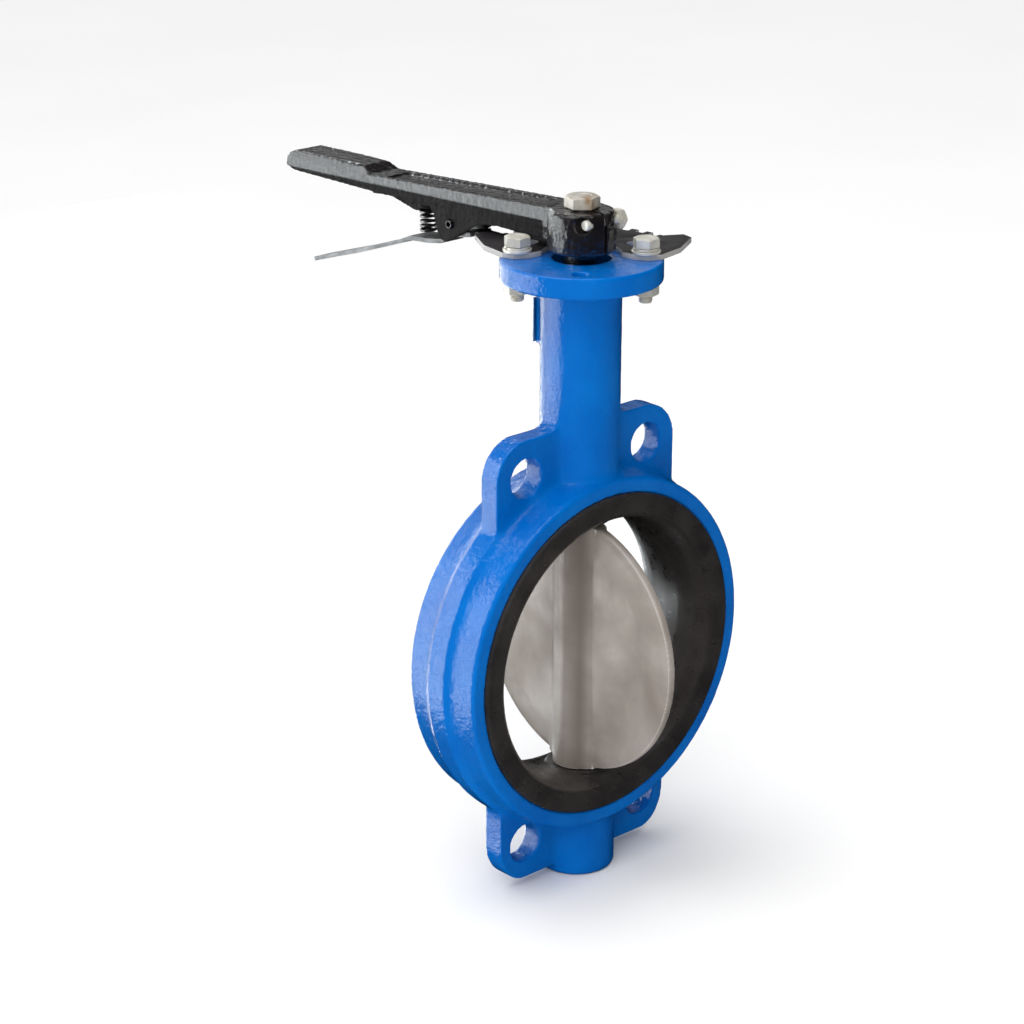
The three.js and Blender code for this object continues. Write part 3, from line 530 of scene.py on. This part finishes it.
def black_paint():
    """Gloss paint on the hub, the arm's band and its top, and a dull rough skirt under the band."""
    f = Finish("lever_paint", 0.36, 0.0, Coat_IOR=1.6)
    paint = f.ramp(f.noise(40, 5), [(0.3, (0.006, 0.005, 0.0055)), (0.75, (0.016, 0.013, 0.014))])
    # Painted highlight: outer edges are coloured a lighter grey-violet.
    f.color(f.blend(f.edges(0.545, 0.64), paint, (0.085, 0.076, 0.078)))
    on_hub = f.span(f.along("Y"), (ARM_START + 0.5) * MM, (ARM_START + 2.5) * MM, 1, 0)
    glossy = f.higher(f.above(BAND_LOW, BAND_FALL, 1.2), on_hub)
    f.join(glossy, f.shader.inputs["Coat Weight"])
    f.join(f.span(f.noise(75, 4), 0.3, 0.7, 0.10, 0.20), f.shader.inputs["Coat Roughness"])
    f.join(f.span(glossy, 0, 1, 0.2, 0.5), f.shader.inputs["Specular IOR Level"])
    f.rough(f.span(glossy, 0, 1, 0.62, 0.36))
    f.bump(f.noise(190, 4, distortion=0.3), 0.8, 0.5, coat=True)
    f.bump(f.noise(520, 2), 0.8, 0.24, coat=True)
    return f.material


def plate_finish():
    """Dark on the flat faces, and bare along the sheared edges."""
    f = Finish("plate_steel", 0.42, 0.25)
    dark = f.ramp(f.noise(60, 5), [(0.3, (0.020, 0.018, 0.020)), (0.7, (0.045, 0.042, 0.044))])
    f.color(f.blend(f.sides(), dark, (0.48, 0.47, 0.46)))
    f.rough(f.span(f.noise(90, 4), 0.3, 0.7, 0.32, 0.55))
    f.bump(f.noise(700, 3), 0.35, 0.07)
    return f.material


def zinc_plate(name, tone, stain):
    """Bright plating with stained patches."""
    f = Finish(name, 0.38, 0.5)
    clean = f.ramp(f.noise(160, 4), [(0.3, tuple(0.80 * c for c in tone)), (0.7, tone)])
    f.color(f.blend(f.span(f.noise(85, 5, offset=(2, 7, 3)), 0.50, 0.72, 0, 1), clean, stain))
    f.rough(f.span(f.noise(240, 4), 0.3, 0.7, 0.32, 0.5))
    f.bump(f.noise(900, 3), 0.3, 0.05)
    return f.material


def galvanised():
    """Zinc spangle, dulled in patches."""
    f = Finish("trigger_steel", 0.42, 0.9)
    spangle = f.ramp(f.cells(230), [(0.0, (0.20, 0.20, 0.205)), (0.6, (0.34, 0.34, 0.34))])
    f.color(f.blend(f.span(f.noise(60, 4), 0.35, 0.65, 0, 1), spangle, (0.16, 0.16, 0.16)))
    f.rough(f.span(f.noise(150, 4), 0.3, 0.7, 0.34, 0.52))
    f.bump(f.noise(1000, 3), 0.3, 0.05)
    return f.material


def polymer():
    f = Finish("bush_polymer", 0.5, 0.0)
    f.color(f.ramp(f.noise(90, 4), [(0.3, (0.62, 0.58, 0.49)), (0.7, (0.74, 0.70, 0.62))]))
    f.rough(f.span(f.noise(200, 3), 0.3, 0.7, 0.42, 0.58))
    f.bump(f.noise(500, 3, stretch=(1, 1, 8)), 0.3, 0.05)
    return f.material


def seal_rubber():
    f = Finish("seal_rubber", 0.55, 0.0)
    f.color(f.ramp(f.noise(120, 4), [(0.3, (0.012, 0.012, 0.012)), (0.7, (0.03, 0.03, 0.03))]))
    f.bump(f.noise(900, 3), 0.3, 0.05)
    return f.material


def brushed_aluminium():
    f = Finish("data_plate_metal", 0.34, 1.0)
    f.color(f.ramp(f.noise(120, 4), [(0.3, (0.50, 0.51, 0.53)), (0.7, (0.66, 0.67, 0.69))]))
    f.rough(f.span(f.noise(90, 5, stretch=(1, 1, 22)), 0.3, 0.7, 0.26, 0.44))
    f.bump(f.noise(110, 3, stretch=(1, 1, 30)), 0.3, 0.04)
    return f.material


ENAMEL = enamel()
SEAT = seat_rubber()
DISC = cast_stainless()
STEM = turned_steel("stem_steel", (0.50, 0.49, 0.47), 0.28)
SPRING = turned_steel("spring_steel", (0.34, 0.32, 0.31), 0.3)
PIN = turned_steel("pin_steel", (0.20, 0.19, 0.185), 0.42)
LEVER = black_paint()
PLATE = plate_finish()
ZINC = zinc_plate("zinc", (0.90, 0.88, 0.80), (0.66, 0.62, 0.52))
STAINED_ZINC = zinc_plate("stained_zinc", (0.76, 0.72, 0.65), (0.42, 0.27, 0.15))
TRIGGER_STEEL = galvanised()
POLYMER = polymer()
SEAL = seal_rubber()
ALUMINIUM = brushed_aluminium()

KEPT = {
    "upper_stem": (STEM, "stem_steel"),
    "lower_stem": (STEM, "stem_steel"),
    "stem_half_ring_back": (STEM, "stem_steel"),
    "stem_half_ring_front": (STEM, "stem_steel"),
    "stem_thrust_washer": (STEM, "stem_steel"),
    "stem_snap_ring": (SPRING, "spring_steel"),
    "neck_bush_lower": (POLYMER, "bush_polymer"),
    "neck_bush_upper": (POLYMER, "bush_polymer"),
    "boss_bush": (POLYMER, "bush_polymer"),
    "stem_seal_lower": (SEAL, "seal_rubber"),
    "stem_seal_upper": (SEAL, "seal_rubber"),
    "boss_seal": (SEAL, "seal_rubber"),
}
for node, (material, slot_name) in KEPT.items():
    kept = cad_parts[node]
    kept.data.materials.clear()
    kept.data.materials.append(material)


# ---------------------------------------------------------------- body
def lug(side, end):
    """One ear round a pipe bolt's hole, which runs into the neck or the boss in a curve."""
    x, z = LUG_HOLE
    rise = 6.0 if end > 0 else 1.5
    width = LUG_RADIUS if end > 0 else LOWER_LUG_WIDTH
    top = z + LUG_RADIUS
    curve = []
    for i in range(9):
        t = i / 8
        a, b, c = (1 - t) ** 2, 2 * t * (1 - t), t * t
        curve.append((
            a * (NECK_RADIUS - 1) + b * (NECK_RADIUS + 1) + c * (NECK_RADIUS + 3 + rise),
            a * (top + rise) + b * top + c * top,
        ))
    edge = x + width
    points = [(0, RING_MIDDLE), (0, top + rise), *curve, *arc(x, z, width, LUG_RADIUS, 90, 0, 16)]
    points.append((edge, math.sqrt(RING_MIDDLE ** 2 - edge ** 2)))
    return prism("lug", [(side * a, end * b) for a, b in points], "Y", -LUG_HALF, LUG_HALF)


def make_body():
    """The ring with its rib, the neck and its flange, the boss and the lugs, cast as one."""
    ring = revolve("body_casting", mirrored([
        (LINER_RADIUS, CASTING_HALF),
        (BODY_FACE_RADIUS - 1.2, CASTING_HALF),
        (BODY_FACE_RADIUS, CASTING_HALF - 1.4),
        (SHOULDER_RADIUS, RIB_HALF + 1.2),
        (SHOULDER_RADIUS + 1, RIB_HALF + 0.2),
        (RIB_RADIUS - 1, RIB_HALF - 0.2),
        (RIB_RADIUS, RIB_HALF - 1.2),
    ]), "Y", closed=True, sides=256)
    neck = revolve("neck", [
        (NECK_RADIUS, RING_MIDDLE),
        (NECK_RADIUS, FLANGE_BOTTOM - 3),
        (NECK_RADIUS + 0.9, FLANGE_BOTTOM - 0.9),
        (NECK_RADIUS + 3, FLANGE_BOTTOM),
        (FLANGE_RADIUS - 1, FLANGE_BOTTOM),
        (FLANGE_RADIUS, FLANGE_BOTTOM + 1),
        (FLANGE_RADIUS, FLANGE_TOP - 1),
        (FLANGE_RADIUS - 1, FLANGE_TOP),
    ], sides=192)
    boss = revolve("boss", [
        (NECK_RADIUS - 2, BOSS_END),
        (NECK_RADIUS - 0.6, BOSS_END + 0.6),
        (NECK_RADIUS, BOSS_END + 2),
        (NECK_RADIUS, -RING_MIDDLE),
    ], sides=128)
    low, high = DATA_PLATE_LOW.z - 1, DATA_PLATE_HIGH.z + 1
    corners = [(-PAD_HALF, low), (PAD_HALF, low), (PAD_HALF, high), (-PAD_HALF, high)]
    pad = prism("pad", corners, "Y", PAD_ROOT, NECK_RADIUS + PAD_PROUD)
    lugs = [lug(side, end) for side in (1, -1) for end in (1, -1)]
    combine(ring, [neck, boss, pad, *lugs], "UNION")
    cuts = [
        bar("Y", LINER_RADIUS, -FACE_HALF, FACE_HALF, sides=256),
        bar("Y", LIP_RADIUS + 0.3, LIP_FLOOR, FACE_HALF, sides=256),
        bar("Y", LIP_RADIUS + 0.3, -FACE_HALF, -LIP_FLOOR, sides=256),
        bar("Z", BEARING_BORE, BEARING_START, FLANGE_TOP - GLAND_DEPTH + CUT_PAST),
        bar("Z", GLAND_RADIUS, FLANGE_TOP - GLAND_DEPTH, FLANGE_TOP + CUT_PAST),
        bar("Z", BEARING_BORE, BOSS_END + BOSS_FLOOR, -BEARING_START),
    ]
    for side in (1, -1):
        for end in (1, -1):
            at = (side * LUG_HOLE[0], end * LUG_HOLE[1])
            cuts.append(bar("Y", LUG_HOLE_RADIUS, -FACE_HALF, FACE_HALF, at))
    for degrees in (45, 135, 225, 315):
        a = math.radians(degrees)
        at = (FLANGE_BOLT_CIRCLE * math.cos(a), FLANGE_BOLT_CIRCLE * math.sin(a))
        cuts.append(bar("Z", FLANGE_HOLE_RADIUS, FLANGE_BOTTOM - CUT_PAST, FLANGE_TOP + CUT_PAST, at))
    combine(ring, cuts, "DIFFERENCE")
    remesh(ring, 0.9)
    soften(ring, 60, 3)
    return smooth(ripple(ring, 0.12, 4.0, 12.0))


place(make_body(), FIXED, ENAMEL, "enamel", "body")


# ---------------------------------------------------------------- seat and disc
def make_seat():
    """The rubber liner: a lip on each face, a waisted bore and a flat round each stem."""
    back = LINER_RADIUS - 0.3
    liner = revolve("rubber_seat", mirrored([
        (back, LIP_FLOOR + 0.3),
        (LIP_RADIUS, LIP_FLOOR + 0.3),
        (LIP_RADIUS, FACE_HALF - 1.2),
        (LIP_RADIUS - 1.2, FACE_HALF),
        (BORE_RADIUS + 4.8, FACE_HALF),
        (BORE_RADIUS + 2.9, FACE_HALF - 1.5),
        (BORE_RADIUS + 1.3, FACE_HALF - 5.6),
        (BORE_RADIUS, FACE_HALF - 11),
        (CROWN_RADIUS + 0.4, 9),
        (CROWN_RADIUS, 5),
    ]), "Y", closed=True, sides=256)
    flat = DISC_END + 0.3
    radius = DISC_HUB_RADIUS + 4
    root = BORE_RADIUS + 3
    combine(liner, [bar("Z", radius, flat, root), bar("Z", radius, -root, -flat)], "UNION")
    combine(liner, [bar("Z", STEM_RADIUS + STEM_GAP, -RIB_RADIUS, RIB_RADIUS)], "DIFFERENCE")
    remesh(liner, 0.7)
    soften(liner, 14, 2)
    return smooth(liner)


def make_disc():
    """The blade, thinner at its rim, with a hub across it that runs out in fillets."""
    blade = revolve("disc_casting", mirrored([
        (DISC_RADIUS - 17, -DISC_HALF),
        (DISC_RADIUS - 4, -DISC_RIM_HALF - 0.9),
        (DISC_RADIUS - 0.6, -DISC_RIM_HALF),
        (DISC_RADIUS, 1.2 - DISC_RIM_HALF),
    ]), "X", sides=256)
    fillet = 9.0
    reach = DISC_HUB_RADIUS + fillet
    meet = math.acos((DISC_HALF + fillet) / reach)
    centre = (reach * math.cos(meet), reach * math.sin(meet))
    degrees = math.degrees(meet)
    quarter = arc(0, 0, DISC_HUB_RADIUS, DISC_HUB_RADIUS, 0, degrees, 16)
    quarter += arc(*centre, fillet, fillet, 180 + degrees, 180, 12)[1:]
    quarter.append((DISC_HALF - 1, centre[1]))
    upper = quarter + [(-x, y) for x, y in reversed(quarter)]
    outline = upper + [(x, -y) for x, y in reversed(upper[1:-1])]
    hub = prism("hub", outline, "Z", -DISC_END, DISC_END)
    combine(blade, [hub], "UNION")
    combine(blade, [bar("X", DISC_RADIUS, -DISC_RADIUS, DISC_RADIUS, sides=256)], "INTERSECT")
    remesh(blade, 0.6)
    soften(blade, 24, 3)
    return smooth(blade)


place(make_seat(), FIXED, SEAT, "seat_rubber", "seat")
place(make_disc(), ROTOR, DISC, "disc_steel", "disc")


# ---------------------------------------------------------------- lever, plate and trigger
def draw_in_skirt(piece):
    """Sets the lever's sides in below their band and gives them a casting's draft."""
    mesh = piece.data
    co = np.zeros(len(mesh.vertices) * 3)
    mesh.vertices.foreach_get("co", co)
    co = co.reshape(-1, 3)
    x, y, z = co.T / MM
    outer = np.abs(x) > ARM_CORE
    depth = BAND_LOW - BAND_FALL * y - z
    on_arm = np.clip((y - ARM_START) / 4, 0, 1)
    inset = np.clip(depth / 0.8, 0, 1) * SKIRT_STEP + np.clip(depth, 0, SKIRT_DEPTH) * SKIRT_DRAFT
    co[:, 0] -= np.where(outer, np.sign(x) * inset * on_arm, 0) * MM
    mesh.vertices.foreach_set("co", co.ravel())
    mesh.update()
    return piece


lever = copy_of("lever", "hand_lever")
remesh(lever, 0.55)
draw_in_skirt(lever)
soften(lever, 8, 4)
ripple(lever, 0.28, 2.2, 6.0)
place(smooth(lever), ROTOR, LEVER, "lever_paint", "lever")

plate = smooth(bevel(copy_of("notch_plate", "notched_plate"), 0.35), 40)
place(plate, FIXED, PLATE, "plate_steel", "notch_plate")

trigger = smooth(bevel(copy_of("trigger", "squeeze_trigger"), 0.3), 40)
place(trigger, TRIGGER, TRIGGER_STEEL, "trigger_steel", "trigger")


# ---------------------------------------------------------------- fasteners
def hex_radius(across_flats, sides):
    """Distance to a hexagon's edge at each angle."""
    angle = np.arange(sides) / sides * TURN
    sector = TURN / 6
    return across_flats / 2 / np.cos((angle + sector / 2) % sector - sector / 2)


def hex_rings(across_flats, low, high, chamfer_low, chamfer_high, sides=96):
    """Rings of a hexagon whose ends have the cone chamfer of a bolt's head or a nut."""
    edge = hex_radius(across_flats, sides)
    flat = 0.475 * across_flats
    drop = (edge - flat) * math.tan(math.radians(28))
    rings = []
    if chamfer_low:
        rings += [(flat, low), (edge, low + drop)]
    else:
        rings += [(edge, low)]
    if chamfer_high:
        rings += [(edge, high - drop), (flat, high)]
    else:
        rings += [(edge, high)]
    return rings


def thread(radius, pitch, low, high, sides=96):
    """Rings of a screw thread, upwards, with a cone at its lower end."""
    angle = np.arange(sides) / sides
    depth = 0.6 * pitch
    rings = []
    for height in np.arange(low, high, pitch / 8):
        wave = np.abs(2 * ((height / pitch - angle) % 1) - 1)
        cone = radius - depth + (height - low) * 0.8
        rings.append((np.minimum(radius - depth * wave, cone), height))
    return rings


def hex_bolt(name, radius, pitch, across_flats, head, length):
    """A bolt that points down, with the underside of its head at height 0."""
    rings = thread(radius, pitch, -length, -0.6)
    rings += [(radius - 0.3, -0.5), (radius - 0.3, 0)]
    rings += [(0.46 * across_flats, 0), (0.46 * across_flats, 0.25)]
    rings += hex_rings(across_flats, 0.3, head, False, True)
    rings += [(0.3 * across_flats, head), (0.28 * across_flats, head - 0.25)]
    return smooth(revolve(name, rings), 32)


def nut(name):
    """An M8 nut that stands on height 0, with a chamfer at each end of its hole."""
    hole, mouth = 3.95, 4.3
    outer = hex_rings(M8_FLATS, 0, NUT_HEIGHT, True, True)
    rings = [(mouth, 0), *outer, (mouth, NUT_HEIGHT), (hole, NUT_HEIGHT - 0.5), (hole, 0.5)]
    return smooth(revolve(name, rings, closed=True), 32)


def flat_washer(name):
    """An M8 washer that lies on height 0, with its outer edges broken."""
    hole, outer, top = 4.2, 8, WASHER_THICK
    rings = [(hole, 0), (outer - 0.2, 0), (outer, 0.2), (outer, top - 0.2), (outer - 0.2, top), (hole, top)]
    return smooth(revolve(name, rings, closed=True), 32)


def lock_washer(name):
    """A split square ring whose two ends are sprung a little apart."""
    steps = 60
    gap = 12
    spread = 0.3
    inner, outer, wire = 4.1, 7.1, LOCK_WASHER_THICK - spread
    verts = []
    for i in range(steps + 1):
        a = math.radians(gap / 2 + (360 - gap) * i / steps)
        lift = spread * (i / steps)
        for r, h in ((inner, 0), (outer, 0), (outer, wire), (inner, wire)):
            verts.append((r * math.cos(a), r * math.sin(a), h + lift))
    faces = []
    for i in range(steps):
        for k in range(4):
            n = (k + 1) % 4
            faces.append((4 * i + k, 4 * i + n, 4 * i + 4 + n, 4 * i + 4 + k))
    faces += [(0, 1, 2, 3), tuple(4 * steps + k for k in range(4))]
    return smooth(bevel(new_piece(name, verts, faces), 0.12, 1), 32)


for side, degrees in FLANGE_BOLT_ANGLES.items():
    a = math.radians(degrees)
    x, y = FLANGE_BOLT_CIRCLE * math.cos(a), FLANGE_BOLT_CIRCLE * math.sin(a)
    head_seat = PLATE_TOP + (WASHER_THICK + LOCK_WASHER_THICK)
    shank = head_seat - node_box(f"flange_bolt_{side}")[0].z
    nut_low = FLANGE_BOTTOM - (LOCK_WASHER_THICK + NUT_HEIGHT)
    stack = [
        (flat_washer(f"washer_{side}"), PLATE_TOP, f"plate_washer_{side}"),
        (lock_washer(f"spring_washer_{side}"), PLATE_TOP + WASHER_THICK, f"plate_lock_washer_{side}"),
        (hex_bolt(f"bolt_{side}", 3.95, 1.25, M8_FLATS, FLANGE_BOLT_HEAD, shank),
         head_seat, f"flange_bolt_{side}"),
        (lock_washer(f"nut_spring_washer_{side}"), FLANGE_BOTTOM - LOCK_WASHER_THICK,
         f"nut_lock_washer_{side}"),
        (nut(f"nut_{side}"), nut_low, f"flange_nut_{side}"),
    ]
    for index, (piece, height, node) in enumerate(stack):
        twist = Matrix.Rotation(math.radians(37 * index + degrees), 4, "Z")
        piece.data.transform(twist)
        place(move(piece, x, y, height), FIXED, ZINC, "zinc", node)

low, high = node_box("lever_top_bolt")
top_bolt = hex_bolt("top_bolt", 4.85, 1.5, 17, TOP_BOLT_HEAD, high.z - TOP_BOLT_HEAD - low.z)
top_bolt.data.transform(Matrix.Rotation(math.radians(47), 4, "Z"))
place(move(top_bolt, 0, 0, high.z - TOP_BOLT_HEAD), ROTOR, STAINED_ZINC, "zinc", "lever_top_bolt")

low, high = node_box("clamp_bolt")
middle = (low + high) / 2
clamp = hex_bolt("pinch_bolt", 2.95, 1.0, 10, CLAMP_BOLT_HEAD, high.x - CLAMP_BOLT_HEAD - low.x)
clamp.data.transform(Matrix.Rotation(math.pi / 2, 4, "Y"))
place(move(clamp, high.x - CLAMP_BOLT_HEAD, middle.y, middle.z), ROTOR, ZINC, "zinc", "clamp_bolt")


# ---------------------------------------------------------------- pin and spring
def roll_pin(name, radius, half, wall=0.75):
    """A rolled spring pin along X, with its slit and rounded ends."""
    steps = 40
    section = mirrored([(radius - wall, -half), (radius - 0.3, -half), (radius, 0.5 - half)])
    verts = []
    for i in range(steps + 1):
        a = math.radians(100 + 340 * i / steps)
        verts += [(h, r * math.cos(a), r * math.sin(a)) for r, h in section]
    count = len(section)
    faces = []
    for i in range(steps):
        for k in range(count):
            n = (k + 1) % count
            faces.append((count * i + k, count * i + n, count * (i + 1) + n, count * (i + 1) + k))
    faces += [tuple(range(count)), tuple(count * steps + k for k in range(count))]
    return smooth(new_piece(name, verts, faces), 32)


low, high = node_box("trigger_pin")
middle = (low + high) / 2
pin = roll_pin("roll_pin", (high.y - low.y) / 2, high.x)
place(move(pin, 0, middle.y, middle.z), ROTOR, PIN, "pin_steel", "trigger_pin")


def coil_spring(name, radius, wire, low, high, turns, reach):
    """A compression spring with closed end coils."""
    steps, sides = int(turns * 40), 12
    path = []
    end = 0.14                         # share of the wire in each closed end coil
    for i in range(steps + 1):
        t = i / steps
        lift = np.interp(t, [0, end, 1 - end, 1], [0, 0.10, 0.90, 1])
        height = low + (high - low) * lift
        a = t * turns * TURN
        path.append(np.array([radius * math.cos(a), reach + radius * math.sin(a), height]))
    verts = []
    for i, p in enumerate(path):
        out = np.array([p[0], p[1] - reach, 0]) / radius
        ahead = path[min(i + 1, steps)] - path[max(i - 1, 0)]
        up = np.cross(ahead / np.linalg.norm(ahead), out)
        for k in range(sides):
            a = k / sides * TURN
            verts.append(p + wire / 2 * (math.cos(a) * out + math.sin(a) * up))
    faces = []
    for i in range(steps):
        for k in range(sides):
            n = (k + 1) % sides
            faces.append((sides * i + k, sides * i + n, sides * (i + 1) + n, sides * (i + 1) + k))
    faces += [tuple(range(sides)), tuple(sides * steps + k for k in range(sides))]
    return smooth(new_piece(name, verts, faces), 50)


low, high = node_box("trigger_spring")
inset = SPRING_WIRE / 2
reach = (low.y + high.y) / 2
spring = coil_spring(
    "return_spring", high.x - inset, SPRING_WIRE, low.z + inset, high.z - inset, 5, reach)
place(spring, ROTOR, SPRING, "spring_steel", "trigger_spring")
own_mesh(spring)


# ---------------------------------------------------------------- data plate
plate_blank = copy_of("data_plate", "blank_data_plate")
place(smooth(bevel(plate_blank, 0.25), 40), FIXED, ALUMINIUM, "data_plate_metal", "data_plate")
shank, dome, rise = 1.45, 2.7, 1.35
for side in ("left", "right"):
    low, high = node_box(f"data_plate_rivet_{side}")
    middle = (low + high) / 2
    head = high.y - 1.4
    rings = [(shank, low.y), (shank, head), (dome, head)]
    for a in np.radians(np.arange(10, 90, 10)):
        rings.append((dome * math.cos(a), head + rise * math.sin(a)))
    rivet = smooth(revolve(f"rivet_{side}", rings, "Y", sides=48), 40)
    move(rivet, middle.x, 0, middle.z)
    place(rivet, FIXED, ALUMINIUM, "data_plate_metal", f"data_plate_rivet_{side}")


# ---------------------------------------------------------------- floor, light and camera
def stage_material():
    f = Finish("pale_floor", 0.7, 0.0, Specular_IOR_Level=0.1)
    f.color(f.ramp(f.noise(3, 2), [(0.2, (0.90, 0.90, 0.90)), (0.8, (0.93, 0.93, 0.93))]))
    return f.material


half = 6000
corners = [(-half, -half, 0), (half, -half, 0), (half, half, 0), (-half, half, 0)]
floor = new_piece("floor", corners, [(0, 1, 2, 3)])
move(floor, 0, 0, BOSS_END - 0.2)
floor.data.materials.append(stage_material())
floor.visible_glossy = False

world = bpy.data.worlds.new("studio")
bpy.context.scene.world = world
world.use_nodes = True
background = world.node_tree.nodes["Background"]
background.inputs["Color"].default_value = (1, 1, 1, 1)
background.inputs["Strength"].default_value = 1.0
world.cycles_visibility.diffuse = False    # the camera sees a white wall, and the lights do the rest
world.cycles_visibility.glossy = False


def softbox(name, at, aim, size, radiance, color=(1, 1, 1), glossy=True, diffuse=True):
    """A rectangular light at a point in millimetres, with its brightness given as radiance."""
    light = bpy.data.lights.new(name, "AREA")
    light.shape = "RECTANGLE"
    light.size, light.size_y = (s * MM for s in size)
    light.energy = radiance * math.pi * light.size * light.size_y
    light.color = color
    lamp = bpy.data.objects.new(name, light)
    bpy.context.scene.collection.objects.link(lamp)
    lamp.location = Vector(at) * MM
    lamp.rotation_euler = (Vector(aim) - Vector(at)).to_track_quat("-Z", "Y").to_euler()
    lamp.visible_camera = False
    lamp.visible_glossy = glossy
    lamp.visible_diffuse = diffuse
    return lamp


COOL = (0.93, 0.98, 1.0)
WARM = (1.0, 0.98, 0.95)


def strip_panel(name, degrees, count, radiance, reach=1600, width=110, gap=210, low=-1050, high=1100):
    """Upright strip lights side by side, seen only in reflections, at a bearing from the valve."""
    middle = (low + high) / 2
    bearing = math.radians(degrees)
    out = Vector((math.cos(bearing), math.sin(bearing), 0))
    across = Vector((-out.y, out.x, 0))
    for i in range(count):
        at = reach * out + (i - (count - 1) / 2) * (width + gap) * across
        at.z = middle
        softbox(f"{name}_{i}", at, at - out, (width, high - low), radiance, COOL, diffuse=False)


strip_panel("side_panel", 137, 5, 7.2)
strip_panel("rear_panel", 82, 4, 6.0)
softbox("high_panel", (1560, 1730, 1250), (0, 0, 240), (1700, 900), 0.45, diffuse=False)
softbox("side_light", (-1773, -313, 350), (0, 0, 0), (1200, 1200), 1.7, COOL, glossy=False)
softbox("top_softbox", (-300, 500, 1900), (0, 0, 0), (1500, 1500), 1.2)
softbox("front_fill", (-1270, -1410, 900), (0, 0, 0), (1500, 1500), 2.1, WARM, glossy=False)
softbox("right_fill", (1900, -300, 900), (0, 0, 0), (1200, 1200), 0.2, WARM, glossy=False)

sky = bpy.data.lights.new("soft_sky", "SUN")
sky.energy = 3.2
sky.angle = math.radians(100)
sun = bpy.data.objects.new("soft_sky", sky)
bpy.context.scene.collection.objects.link(sun)
sun.rotation_euler = Vector((0.25, -0.1, -1)).to_track_quat("-Z", "Y").to_euler()
sun.visible_glossy = False

CAMERA_AT = (-1004.1, -1041.7, 615.8)
CAMERA_RIGHT = (0.73814, -0.67464, 0.0015)
CAMERA_AHEAD = (0.63278, 0.69155, -0.34835)
CAMERA_LENS = 96.58

camera = bpy.data.cameras.new("camera")
camera.lens = CAMERA_LENS
camera.sensor_width = 36
camera.clip_end = 50
eye = bpy.data.objects.new("camera", camera)
bpy.context.scene.collection.objects.link(eye)
right = Vector(CAMERA_RIGHT).normalized()
forward = Vector(CAMERA_AHEAD).normalized()
up = right.cross(forward).normalized()
axes = Matrix((right, up, -forward)).transposed()
eye.matrix_world = Matrix.Translation(Vector(CAMERA_AT) * MM) @ axes.to_4x4()
bpy.context.scene.camera = eye
bpy.context.scene.view_settings.view_transform = "Standard"
